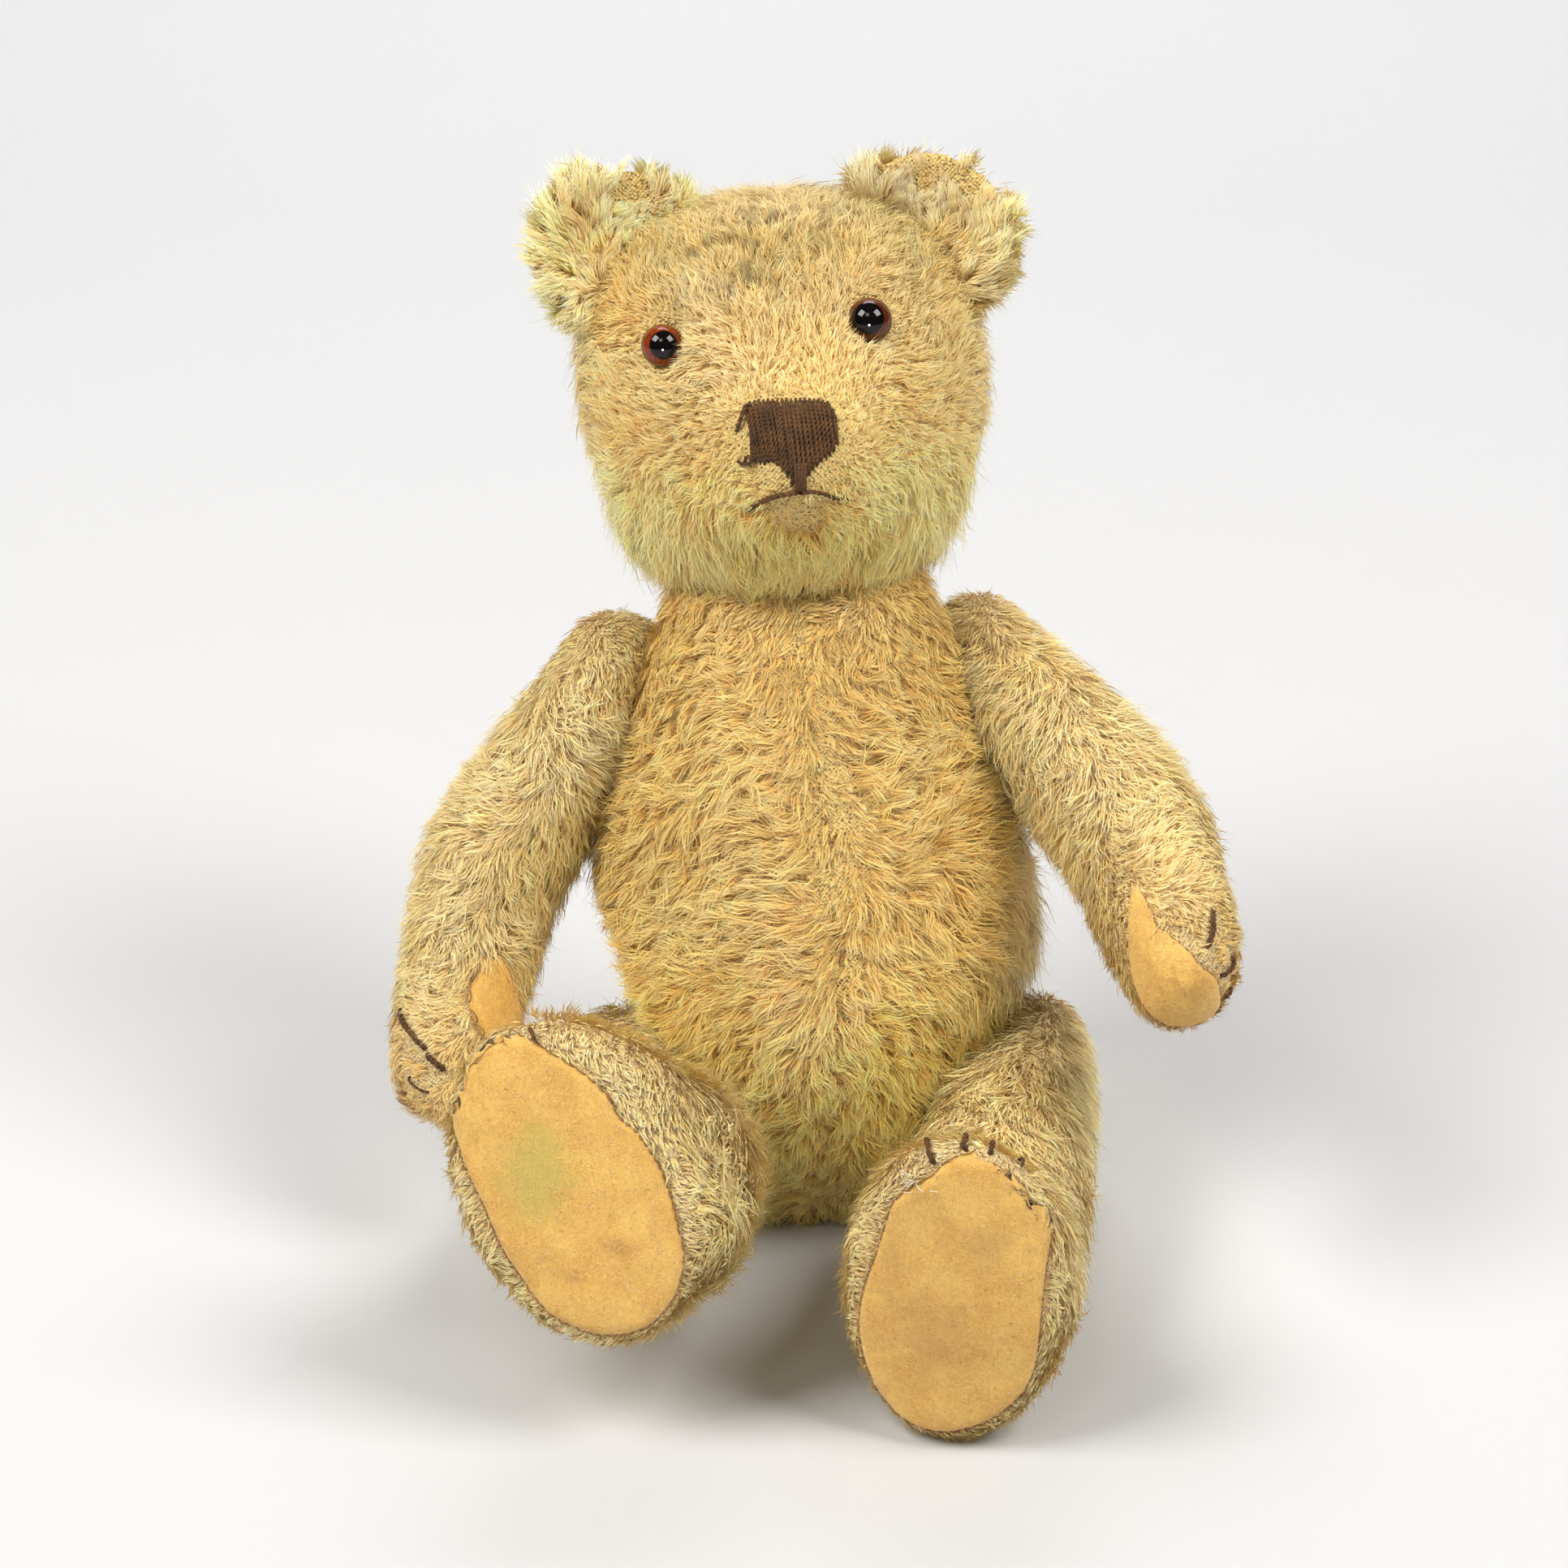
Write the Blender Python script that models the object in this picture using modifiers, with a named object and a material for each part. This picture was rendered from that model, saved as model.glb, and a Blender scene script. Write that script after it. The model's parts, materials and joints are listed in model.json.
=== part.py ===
"""A jointed mohair teddy bear, seated, as closed solids at real size.

The bear faces -Y and sits on the plane z = 0, with the origin at the middle of the flat spot under
its torso. Left and right are the bear's own, so its left is +X. Head, arms and legs each turn on a
split pin that draws two hardboard discs together through the cloth. Every joint has an empty whose
+Z is the hinge axis, pointing out of the torso, and whose origin lies between the two faces.
Inside the functions, lengths are in millimetres in the local frame of an empty.
"""

import math
from collections import namedtuple

import bmesh
import bpy
from mathutils import Matrix, Vector
from mathutils.bvhtree import BVHTree

MM = 0.001
GAP = 0.3                      # clearance between neighbouring solids
SKIN_GAP = 0.75                # clearance under a patch that follows a rounded skin
STITCH_GAP = 0.5               # clearance under a stitch
CLOTH = 1.8                    # doubled cloth between a joint's face and its disc

# How the torso sits
LEAN_BACK = 14.0               # degrees
LEAN_SIDE = 2.5                # degrees, towards the bear's right
NECK_HEIGHT = 155.0            # along the torso's own axis
SHOULDER = (38.5, 0.0, 121.5)  # in the torso's frame, mirrored for the right side
HIPS = {"left": (35.0, -9.0, 29.8), "right": (29.0, -9.0, 29.8)}

# How each limb is turned: outward yaw and rise of its hinge axis, then where its end points
Limb = namedtuple("Limb", "side yaw rise aim")
ARMS = {
    "left": Limb(1, 15.0, 15.0, (53.0, -80.0, -41.0)),
    "right": Limb(-1, 10.0, 15.0, (-50.0, -44.0, -82.0)),
}
LEGS = {
    "left": Limb(1, -14.0, -20.0, (-12.0, -102.0, -2.5)),
    "right": Limb(-1, -3.8, -22.0, (-22.5, -99.0, 20.5)),
}
HEAD_TURN = 4.0                # degrees, towards the bear's left
HEAD_TILT = 1.0                # degrees, further than the torso leans to the side

# Joint hardware
PIN_WIRE = 0.8                 # radius of each half of the split pin
PIN_HALF = 0.95                # distance of each half from the hinge axis
PIN_HOLE = 2.2
PIN_ROOM = 6.3                 # free depth behind a washer for the pin's eye or its curled ends
DISC_THICK = 3.0
WASHER_RADIUS = 6.5
WASHER_THICK = 1.0
DISC_RADIUS = {"neck": 19.0, "shoulder": 12.5, "hip": 15.5}

# Face
EYE_RADIUS = 4.6
EYE_ACROSS = {"left": 19.5, "right": -28.5}
EYE_HEIGHT = {"left": 59.5, "right": 57.0}
EYE_WIRE = 0.5
EAR_RADIUS = 19.5
EAR_THICK = 6.0
EAR_CUP = 6.5                  # how far an ear's rim stands forward of its middle
EAR_LEAN = 43.0                # degrees outwards from upright
EAR_TURN = 14.0                # degrees, opening the cups away from each other
EAR_SPOT = (37.0, 2.0, 77.0)   # middle of the left ear in the head's frame

NOSE_ACROSS = -0.7
NOSE_HEIGHT = 34.8
MOUTH = ((-12.5, 20.2), (-8.5, 21.0), (-4.5, 22.0), (-1.0, 22.4), (3.0, 22.2), (6.5, 21.6), (9.0, 21.0))

# Felt and thread
FELT = 1.3
THREAD = 0.65                  # radius of a claw stitch
NOSE_THREAD = 1.2

Ring = namedtuple("Ring", "along offset out breadth thick twist", defaults=(0.0,))

# Turns a form that was lofted along +X, with +Y forward, so that it stands up and faces -Y
STAND_UP = Matrix(((0, 0, 1, 0), (0, -1, 0, 0), (1, 0, 0, 0), (0, 0, 0, 1)))


# ---------------------------------------------------------------- materials and collections

def make_material(name, colour, roughness, metallic=0.0):
    """A Principled material; colour is linear RGB."""
    material = bpy.data.materials.new(name)
    material.use_nodes = True
    shader = material.node_tree.nodes["Principled BSDF"]
    shader.inputs["Base Color"].default_value = (*colour, 1.0)
    shader.inputs["Roughness"].default_value = roughness
    shader.inputs["Metallic"].default_value = metallic
    return material


def clear_scene():
    """Remove every object, so that the bear is alone in the file."""
    for item in list(bpy.data.objects):
        bpy.data.objects.remove(item, do_unlink=True)


clear_scene()
PARTS = bpy.data.collections.new("teddy_bear")
CUTTERS = bpy.data.collections.new("cutters")
bpy.context.scene.collection.children.link(PARTS)
bpy.context.scene.collection.children.link(CUTTERS)

MOHAIR = make_material("mohair", (0.58, 0.43, 0.19), 0.85)
FELT_CLOTH = make_material("felt", (0.80, 0.48, 0.17), 0.95)
DARK_THREAD = make_material("thread", (0.055, 0.035, 0.022), 0.8)
AMBER_GLASS = make_material("glass", (0.16, 0.035, 0.01), 0.05)
HARDBOARD = make_material("hardboard", (0.20, 0.12, 0.06), 0.8)
STEEL = make_material("steel", (0.50, 0.49, 0.47), 0.4, 1.0)


# ---------------------------------------------------------------- objects

def place(item, parent, collection=PARTS):
    """Link an object, and hang it on its parent empty without an offset."""
    collection.objects.link(item)
    item.parent = parent
    return item


def finish(item, material):
    """Give a part its material and smooth shading."""
    item.data.materials.append(material)
    item.data.shade_smooth()
    item.data.set_sharp_from_angle(angle=math.radians(40.0))
    return item


def as_cutter(item):
    """Keep a cutting shape out of the render and show it as wire."""
    item.hide_render = True
    item.display_type = "WIRE"
    return item


def mesh_object(name, bm):
    """Turn a bmesh in millimetres into an object in metres."""
    bmesh.ops.scale(bm, vec=Vector((MM, MM, MM)), verts=bm.verts)
    bmesh.ops.recalc_face_normals(bm, faces=bm.faces)
    mesh = bpy.data.meshes.new(name)
    bm.to_mesh(mesh)
    bm.free()
    return bpy.data.objects.new(name, mesh)


def turned_object(name, outline, closed, steps=20):
    """A turned solid from (radius, height) points, which run down its outer side."""
    mesh = bpy.data.meshes.new(name)
    points = [(radius * MM, 0.0, height * MM) for radius, height in outline]
    edges = [(i, i + 1) for i in range(len(points) - 1)]
    if closed:
        edges.append((len(points) - 1, 0))
    mesh.from_pydata(points, edges, [])
    item = bpy.data.objects.new(name, mesh)
    screw = item.modifiers.new("turn", "SCREW")
    screw.steps = steps
    screw.render_steps = steps
    screw.use_merge_vertices = True
    screw.merge_threshold = 0.00001
    return item


def wire_object(name, points, radius):
    """A round wire along points in millimetres, with closed ends."""
    curve = bpy.data.curves.new(name, "CURVE")
    curve.dimensions = "3D"
    curve.bevel_depth = radius * MM
    curve.bevel_resolution = 1
    curve.use_fill_caps = True
    spline = curve.splines.new("POLY")
    spline.points.add(len(points) - 1)
    for spot, point in zip(spline.points, points):
        spot.co = (*(Vector(point) * MM), 1.0)
    return bpy.data.objects.new(name, curve)


def subtract(item, cutter, name):
    """Cut one object with another by an exact Boolean modifier."""
    cut = item.modifiers.new(name, "BOOLEAN")
    cut.operation = "DIFFERENCE"
    cut.solver = "EXACT"
    cut.object = cutter


def round_off(item, levels=1):
    """Subdivide a coarse cage into a soft form."""
    smooth = item.modifiers.new("soften", "SUBSURF")
    smooth.levels = levels
    smooth.render_levels = levels


def cage_object(name, rings, sides=12, mirrored=False):
    """A stuffed form lofted through rings, along +X, with +Y towards the toes and +Z outwards."""
    flip = -1.0 if mirrored else 1.0
    shrink = 0.75 + 0.25 * math.cos(math.tau / sides)
    bm = bmesh.new()
    loops = []
    for ring in rings:
        twist = math.radians(ring.twist)
        across = Vector((0.0, math.cos(twist), -math.sin(twist))) * (ring.breadth / shrink)
        through = Vector((0.0, math.sin(twist), math.cos(twist))) * (ring.thick / shrink)
        centre = Vector((ring.along, ring.offset, ring.out))
        loop = []
        for i in range(sides):
            angle = math.tau * (i + 0.5) / sides
            point = centre + across * math.cos(angle) + through * math.sin(angle)
            loop.append(bm.verts.new((point.x, point.y * flip, point.z)))
        loops.append(loop)
    for low, high in zip(loops, loops[1:]):
        for i in range(sides):
            j = (i + 1) % sides
            bm.faces.new((low[i], low[j], high[j], high[i]))
    bm.faces.new(loops[0])
    bm.faces.new(list(reversed(loops[-1])))
    return mesh_object(name, bm)


# ---------------------------------------------------------------- frames

def frame_from(position, axis, towards):
    """A matrix with its +Z along axis and its +X along the part of towards square to it."""
    z = Vector(axis).normalized()
    x = Vector(towards)
    x = (x - z * x.dot(z)).normalized()
    y = z.cross(x)
    matrix = Matrix((x, y, z)).transposed().to_4x4()
    matrix.translation = position
    return matrix


def make_empty(name, matrix):
    """An empty that stands at a joint or carries a sub-assembly."""
    empty = bpy.data.objects.new(name, None)
    empty.empty_display_size = 0.01
    empty.matrix_world = matrix
    PARTS.objects.link(empty)
    return empty


def outward(limb):
    """The hinge axis of a limb, from its yaw towards the back and its rise."""
    yaw = math.radians(limb.yaw)
    rise = math.radians(limb.rise)
    flat = math.cos(rise)
    return Vector((limb.side * flat * math.cos(yaw), flat * math.sin(yaw), math.sin(rise)))


def on_torso(point, side=1):
    """A point in the torso's frame, in millimetres, as a world position in metres."""
    return TORSO_FRAME @ (Vector((point[0] * side, point[1], point[2])) * MM)


TORSO_FRAME = (Matrix.Rotation(math.radians(-LEAN_SIDE), 4, "Y")
               @ Matrix.Rotation(math.radians(-LEAN_BACK), 4, "X"))
SEAT = make_empty("torso_frame", TORSO_FRAME)


def neck_frame():
    """The neck's hinge: +Z up through the head, and -Y where the face looks."""
    tilt = Matrix.Rotation(math.radians(-HEAD_TILT), 4, "Y")
    turn = Matrix.Rotation(math.radians(HEAD_TURN), 4, "Z")
    return Matrix.Translation(on_torso((0.0, 0.0, NECK_HEIGHT))) @ TORSO_FRAME @ tilt @ turn


JOINTS = {"neck": make_empty("neck_joint", neck_frame())}
for SIDE_NAME, LIMB in ARMS.items():
    JOINTS["shoulder_" + SIDE_NAME] = make_empty(
        "shoulder_" + SIDE_NAME + "_joint",
        frame_from(on_torso(SHOULDER, LIMB.side), outward(LIMB), LIMB.aim))
for SIDE_NAME, LIMB in LEGS.items():
    JOINTS["hip_" + SIDE_NAME] = make_empty(
        "hip_" + SIDE_NAME + "_joint",
        frame_from(on_torso(HIPS[SIDE_NAME], LIMB.side), outward(LIMB), LIMB.aim))


# ---------------------------------------------------------------- joint hardware

def stack():
    """Heights of the disc, the washer and the free space behind it, away from a joint's face."""
    disc = GAP / 2 + CLOTH + GAP
    washer = disc + DISC_THICK + GAP
    room = washer + WASHER_THICK
    return disc, washer, room


def half_space(name, joint, direction, size):
    """A block whose face stops half a gap short of a joint's plane, on the side to cut away."""
    bm = bmesh.new()
    bmesh.ops.create_cube(bm, size=size)
    lift = direction * (size / 2 - GAP / 2)
    bmesh.ops.translate(bm, verts=bm.verts, vec=Vector((0.0, 0.0, lift)))
    return as_cutter(place(mesh_object(name, bm), joint, CUTTERS))


def pocket(name, joint, radius, direction):
    """The space for one disc, its washer and the pin, open to the face by the pin's hole."""
    disc, washer, room = stack()
    wide = radius + GAP
    deep = room + PIN_ROOM
    heights = (
        (0.0, deep), (WASHER_RADIUS + GAP, deep), (WASHER_RADIUS + GAP, washer),
        (wide, washer), (wide, disc - GAP), (PIN_HOLE, disc - GAP), (PIN_HOLE, -2.0), (0.0, -2.0),
    )
    outline = [(r, h * direction) for r, h in heights]
    if direction < 0:
        outline.reverse()
    return as_cutter(place(turned_object(name, outline, False), joint, CUTTERS))


def ring_part(name, joint, inner, outer, low, thick, direction, material):
    """A flat ring, such as a disc or a washer, on one side of a joint."""
    near, far = sorted((low * direction, (low + thick) * direction))
    outline = [(outer, far), (outer, near), (inner, near), (inner, far)]
    steps = 18 if outer > WASHER_RADIUS else 12
    return finish(place(turned_object(name, outline, True, steps), joint), material)


def split_pin(name, joint):
    """A split pin: its eye on the limb's side, its two ends curled back inside the torso."""
    _, _, room = stack()
    curl = 2.0
    points = []
    for i in range(6):
        angle = math.pi * i / 5
        centre = PIN_HALF + curl
        points.append((centre + curl * math.cos(angle), 0.0,
                       -room - 1.6 - curl * math.sin(angle)))
    points.insert(0, (PIN_HALF + 2 * curl, 0.0, -room - PIN_WIRE - GAP - 0.1))
    points.append((PIN_HALF, 0.0, room + 0.6))
    points.append((2.6, 0.0, room + 2.6))
    points.append((1.6, 0.0, room + 4.6))
    mirrored = [(-x, y, z) for x, y, z in reversed(points)]
    item = wire_object(name, points + mirrored, PIN_WIRE)
    item.data.materials.append(STEEL)
    return place(item, joint)


def joint_hardware(name, joint, radius):
    """The pin, two discs and two washers of one joint."""
    disc, washer, _ = stack()
    hole = PIN_HOLE
    for side, direction in (("outer", 1), ("inner", -1)):
        ring_part(f"{name}_disc_{side}", joint, hole, radius, disc, DISC_THICK, direction,
                  HARDBOARD)
        ring_part(f"{name}_washer_{side}", joint, hole, WASHER_RADIUS, washer, WASHER_THICK,
                  direction, STEEL)
    split_pin(name + "_pin", joint)


def open_for_joint(item, name, joint, radius, direction, size=260.0):
    """Flatten a stuffed solid at a joint and hollow it for its half of the hardware."""
    tag = f"{item.name}_{name}"
    subtract(item, half_space(tag + "_plane", joint, -direction, size), name + "_plane")
    subtract(item, pocket(tag + "_pocket", joint, radius, direction), name + "_pocket")


def kind_of(joint_name):
    """neck, shoulder or hip."""
    return joint_name.split("_")[0]


# ---------------------------------------------------------------- following a skin

def evaluated_skin(item):
    """A search tree over an object's finished surface, in its parent's frame in millimetres."""
    bpy.context.view_layer.update()
    done = item.evaluated_get(bpy.context.evaluated_depsgraph_get())
    mesh = done.to_mesh()
    bm = bmesh.new()
    bm.from_mesh(mesh)
    bmesh.ops.scale(bm, vec=Vector((1 / MM,) * 3), verts=bm.verts)
    tree = BVHTree.FromBMesh(bm)
    bm.free()
    done.to_mesh_clear()
    return tree


def laid_on(tree, point, direction, height):
    """Where a line from point meets the skin, lifted square to it."""
    spot, normal, _, _ = tree.ray_cast(Vector(point), Vector(direction))
    return spot + normal * height


def patch(name, parent, tree, outline, lines, thick, material, rings=4):
    """A cloth or thread patch that lies on a skin.

    outline(angle) gives the patch's edge as (a, b) offsets from its middle, and lines(a, b) the
    start and direction of the line that lays each point on the skin.
    """
    spokes = 24
    bm = bmesh.new()
    grid = [[bm.verts.new(laid_on(tree, *lines(0.0, 0.0), SKIN_GAP))] * spokes]
    for ring in range(1, rings + 1):
        share = ring / rings
        loop = []
        for k in range(spokes):
            a, b = outline(math.tau * k / spokes)
            loop.append(bm.verts.new(laid_on(tree, *lines(a * share, b * share), SKIN_GAP)))
        grid.append(loop)
    for inner, outer in zip(grid, grid[1:]):
        for k in range(spokes):
            m = (k + 1) % spokes
            corners = [inner[k], outer[k], outer[m], inner[m]]
            bm.faces.new(list(dict.fromkeys(corners)))
    bmesh.ops.recalc_face_normals(bm, faces=bm.faces)
    bm.normal_update()
    start, direction = lines(0.0, 0.0)
    if grid[0][0].normal.dot(Vector(direction)) > 0:
        bmesh.ops.reverse_faces(bm, faces=bm.faces)
    bmesh.ops.scale(bm, vec=Vector((MM,) * 3), verts=bm.verts)
    mesh = bpy.data.meshes.new(name)
    bm.to_mesh(mesh)
    bm.free()
    item = bpy.data.objects.new(name, mesh)
    shell = item.modifiers.new("thickness", "SOLIDIFY")
    shell.thickness = thick * MM
    shell.offset = 1.0
    return finish(place(item, parent), material)


def stitch(name, parent, tree, spots, direction):
    """One thread stitch that lies on a skin under the given spots."""
    points = [laid_on(tree, spot, direction, THREAD + STITCH_GAP) for spot in spots]
    item = wire_object(name, points, THREAD)
    item.data.materials.append(DARK_THREAD)
    return place(item, parent)


def between(start, end, count=4):
    """Evenly spaced points on a straight line."""
    first, last = Vector(start), Vector(end)
    return [first.lerp(last, i / (count - 1)) for i in range(count)]


def oval(half_a, half_b, square=2.0):
    """An outline function for an oval; a higher square gives fuller corners."""
    def edge(angle):
        c, s = math.cos(angle), math.sin(angle)
        size = (abs(c) ** square + abs(s) ** square) ** (-1.0 / square)
        return half_a * size * c, half_b * size * s
    return edge


# ---------------------------------------------------------------- torso

TORSO_RINGS = (
    # height, forward, half width, half depth
    (-9.0, -7.0, 12.0, 10.0),
    (-4.0, -6.0, 22.0, 18.0),
    (6.0, -3.5, 30.5, 27.0),
    (22.0, 1.0, 39.0, 37.0),
    (42.0, 3.5, 47.5, 43.5),
    (62.0, 3.0, 52.0, 46.0),
    (84.0, 1.0, 50.5, 44.0),
    (106.0, 0.0, 46.0, 40.5),
    (126.0, 0.0, 42.5, 37.0),
    (142.0, 0.0, 37.5, 33.5),
    (152.0, 0.0, 33.0, 30.5),
    (161.0, 0.0, 20.0, 19.0),
)


def build_torso():
    """The torso, flat where it sits and where the head and limbs meet it."""
    rings = [Ring(height, forward, 0.0, depth, width)
             for height, forward, width, depth in TORSO_RINGS]
    item = cage_object("torso", rings, sides=16)
    item.data.transform(STAND_UP)
    place(item, SEAT)
    round_off(item)
    bm = bmesh.new()
    size = 200.0
    bmesh.ops.create_cube(bm, size=size)
    bmesh.ops.translate(bm, verts=bm.verts, vec=Vector((0.0, 0.0, -size / 2)))
    ground = as_cutter(place(mesh_object("torso_seat_plane", bm), None, CUTTERS))
    subtract(item, ground, "seat")
    for name, joint in JOINTS.items():
        open_for_joint(item, name, joint, DISC_RADIUS[kind_of(name)], -1)
    return finish(item, MOHAIR)


# ---------------------------------------------------------------- head

HEAD_RINGS = (
    # height, forward, half width, half depth
    (-4.0, 0.0, 22.0, 22.0),
    (3.0, 0.0, 31.5, 32.0),
    (12.0, 0.0, 38.0, 37.0),
    (24.0, -1.0, 43.0, 40.5),
    (36.0, -1.0, 45.8, 42.0),
    (48.0, -2.0, 46.5, 42.0),
    (60.0, -3.0, 44.5, 40.5),
    (70.0, -4.0, 40.5, 37.0),
    (78.5, -5.0, 34.0, 31.0),
    (84.5, -5.5, 24.0, 22.0),
    (87.5, -6.0, 11.0, 10.0),
)
MUZZLE_REACH = 24.0
MUZZLE_HEIGHT = 27.0
MUZZLE_WIDE = 21.0
MUZZLE_TALL = 18.5


def muzzle_push(x, height):
    """How far the muzzle stands out from the face at a place."""
    r2 = (x / MUZZLE_WIDE) ** 2 + ((height - MUZZLE_HEIGHT) / MUZZLE_TALL) ** 2
    return MUZZLE_REACH * math.exp(-(r2 ** 1.6))


def build_head():
    """The head with its muzzle, cut for the neck and the eyes."""
    rings = [Ring(height, forward, 0.0, depth, width)
             for height, forward, width, depth in HEAD_RINGS]
    item = cage_object("head", rings, sides=20)
    item.data.transform(STAND_UP)
    for spot in item.data.vertices:
        if spot.co.y < 0:
            spot.co.y -= muzzle_push(spot.co.x / MM, spot.co.z / MM) * MM
    joint = JOINTS["neck"]
    place(item, joint)
    round_off(item)
    open_for_joint(item, "neck", joint, DISC_RADIUS["neck"], 1)
    return finish(item, MOHAIR)


def eye_frame(tree, side_name):
    """Where an eye sits on the face: +Z out of the face, its origin on the skin."""
    start = Vector((EYE_ACROSS[side_name], -100.0, EYE_HEIGHT[side_name]))
    spot, normal, _, _ = tree.ray_cast(start, Vector((0.0, 1.0, 0.0)))
    axis = (normal + Vector((0.0, -1.0, 0.0))).normalized()
    return frame_from(spot * MM, axis, (1.0, 0.0, 0.0))


def build_eye(head, tree, side_name):
    """A glass eye in its socket, on a looped wire shank."""
    frame = eye_frame(tree, side_name)
    carrier = bpy.data.objects.new(f"eye_{side_name}_seat", None)
    carrier.empty_display_size = 0.005
    place(carrier, JOINTS["neck"])
    carrier.matrix_local = frame
    back = -2.0
    flat = EYE_RADIUS * 0.55
    outline = [(0.0, back + 5.8)]
    for i in range(1, 6):
        angle = math.radians(90.0 - 18.0 * i)
        outline.append((EYE_RADIUS * math.cos(angle), back + 2.0 + 3.8 * math.sin(angle)))
    outline += [(EYE_RADIUS * 0.9, back + 0.8), (flat, back), (0.0, back)]
    eye = turned_object(f"eye_{side_name}", outline, False, 20)
    finish(place(eye, carrier), AMBER_GLASS)
    room = EYE_RADIUS + GAP
    shaft = EYE_WIRE + 1.6
    socket_outline = [
        (0.0, 12.0), (room, 12.0), (room, back - GAP), (shaft, back - GAP),
        (shaft, back - 9.0), (0.0, back - 9.0),
    ]
    socket = turned_object(f"eye_{side_name}_socket", socket_outline, False, 20)
    subtract(head, as_cutter(place(socket, carrier, CUTTERS)), f"eye_{side_name}")
    top = back - GAP - EYE_WIRE
    loop = [(0.0, 0.0, top), (0.0, 0.0, top - 3.2)]
    for i in range(9):
        angle = math.radians(80.0 + 32.5 * i)
        loop.append((1.1 * math.cos(angle), 0.0, top - 5.2 + 1.4 * math.sin(angle)))
    wire = wire_object(f"eye_wire_{side_name}", loop, EYE_WIRE)
    wire.data.materials.append(STEEL)
    place(wire, carrier)


def build_ear(head, side_name):
    """A cupped ear across the head's top corner, cut to lie on the head."""
    side = 1 if side_name == "left" else -1
    bm = bmesh.new()
    bmesh.ops.create_uvsphere(bm, u_segments=20, v_segments=12, radius=1.0)
    for spot in bm.verts:
        x, y, z = spot.co
        across = x * EAR_RADIUS
        high = z * EAR_RADIUS * 0.98
        cup = EAR_CUP * (x * x + 0.7 * z * z)
        spot.co = (across, y * EAR_THICK / 2 - cup, high)
    item = mesh_object(f"ear_{side_name}", bm)
    across, forward, high = EAR_SPOT
    item.data.transform(
        Matrix.Translation(Vector((side * across, forward, high)) * MM)
        @ Matrix.Rotation(math.radians(-EAR_TURN * side), 4, "Z")
        @ Matrix.Rotation(math.radians(EAR_LEAN * side), 4, "Y"))
    place(item, JOINTS["neck"])
    rings = [Ring(height, forward, 0.0, depth + SKIN_GAP, width + SKIN_GAP)
             for height, forward, width, depth in HEAD_RINGS]
    bare = cage_object(f"ear_{side_name}_head", rings, sides=20)
    bare.data.transform(STAND_UP)
    round_off(bare)
    subtract(item, as_cutter(place(bare, JOINTS["neck"], CUTTERS)), "head")
    return finish(item, MOHAIR)


def nose_edge(angle):
    """The nose's outline: wide and square above, drawn in to a stem below."""
    c, s = math.cos(angle), math.sin(angle)
    size = (abs(c) ** 3.2 + abs(s) ** 3.2) ** (-1.0 / 3.2)
    across, high = 11.0 * size * c, 9.0 * size * s
    if high < -2.0:
        depth = min(1.0, (-2.0 - high) / 7.0)
        across *= 1.0 - 0.62 * depth
        high -= 1.5 * depth * max(0.0, 1.0 - abs(across) / 4.5)
    return across, high


def build_face(head):
    """Eyes, nose and mouth."""
    tree = evaluated_skin(head)
    joint = JOINTS["neck"]
    for side_name in ("left", "right"):
        build_eye(head, tree, side_name)

    def nose_lines(a, b):
        return (NOSE_ACROSS + a, -100.0, NOSE_HEIGHT + b), (0.0, 1.0, 0.0)

    patch("nose_stitching", joint, tree, nose_edge, nose_lines, NOSE_THREAD, DARK_THREAD)
    mouth = [(x, -100.0, height) for x, height in MOUTH]
    stitch("mouth_stitching", joint, tree, mouth, (0.0, 1.0, 0.0))


# ---------------------------------------------------------------- limbs

ARM_RINGS = (
    # along, towards the front, out, half breadth, half thickness
    Ring(-21.0, 0.0, 8.5, 8.0, 5.5),
    Ring(-17.5, 0.0, 8.5, 15.5, 11.0),
    Ring(-7.5, 0.0, 9.0, 20.5, 13.5),
    Ring(9.0, -1.0, 11.5, 21.5, 14.5),
    Ring(32.0, -2.0, 20.0, 21.0, 16.5),
    Ring(54.0, -1.0, 22.5, 19.0, 15.5),
    Ring(74.0, 2.5, 19.5, 16.5, 14.5),
    Ring(90.0, 6.0, 17.0, 16.0, 14.0),
    Ring(101.5, 8.5, 15.0, 14.0, 12.0),
    Ring(108.0, 9.5, 13.5, 8.5, 7.0),
)
# How a palm turns from facing the torso to facing forward, where its pad sits, and how long it is
Palm = namedtuple("Palm", "roll along reach")
PALMS = {"left": Palm(46.0, 89.2, 15.8), "right": Palm(22.0, 85.0, 18.5)}
PAW_CLAWS = {"left": (60.0, 35.0, 13.0, -9.0), "right": (84.0, 64.0, 44.0)}   # degrees from the tip
CLAW_LENGTH = 7.5
FAR = 80.0                     # where lines start that lay a patch or a stitch on a limb
FOOT_CLAWS = {"left": (15.0, 9.4, 3.5, -4.9), "right": (-3.9,)}   # outward from the foot's middle
LEG_TWIST = {"left": 17.0, "right": 0.0}
SOLE_BREADTH = {"left": 19.8, "right": 21.8}   # half the sole's width
CALF = {"left": 2.0, "right": -5.0}   # how far the stuffing has settled outwards behind the foot
THIGH_REACH = {"left": 100.0, "right": 76.0}   # the block that flattens a thigh stops short of the foot


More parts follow.
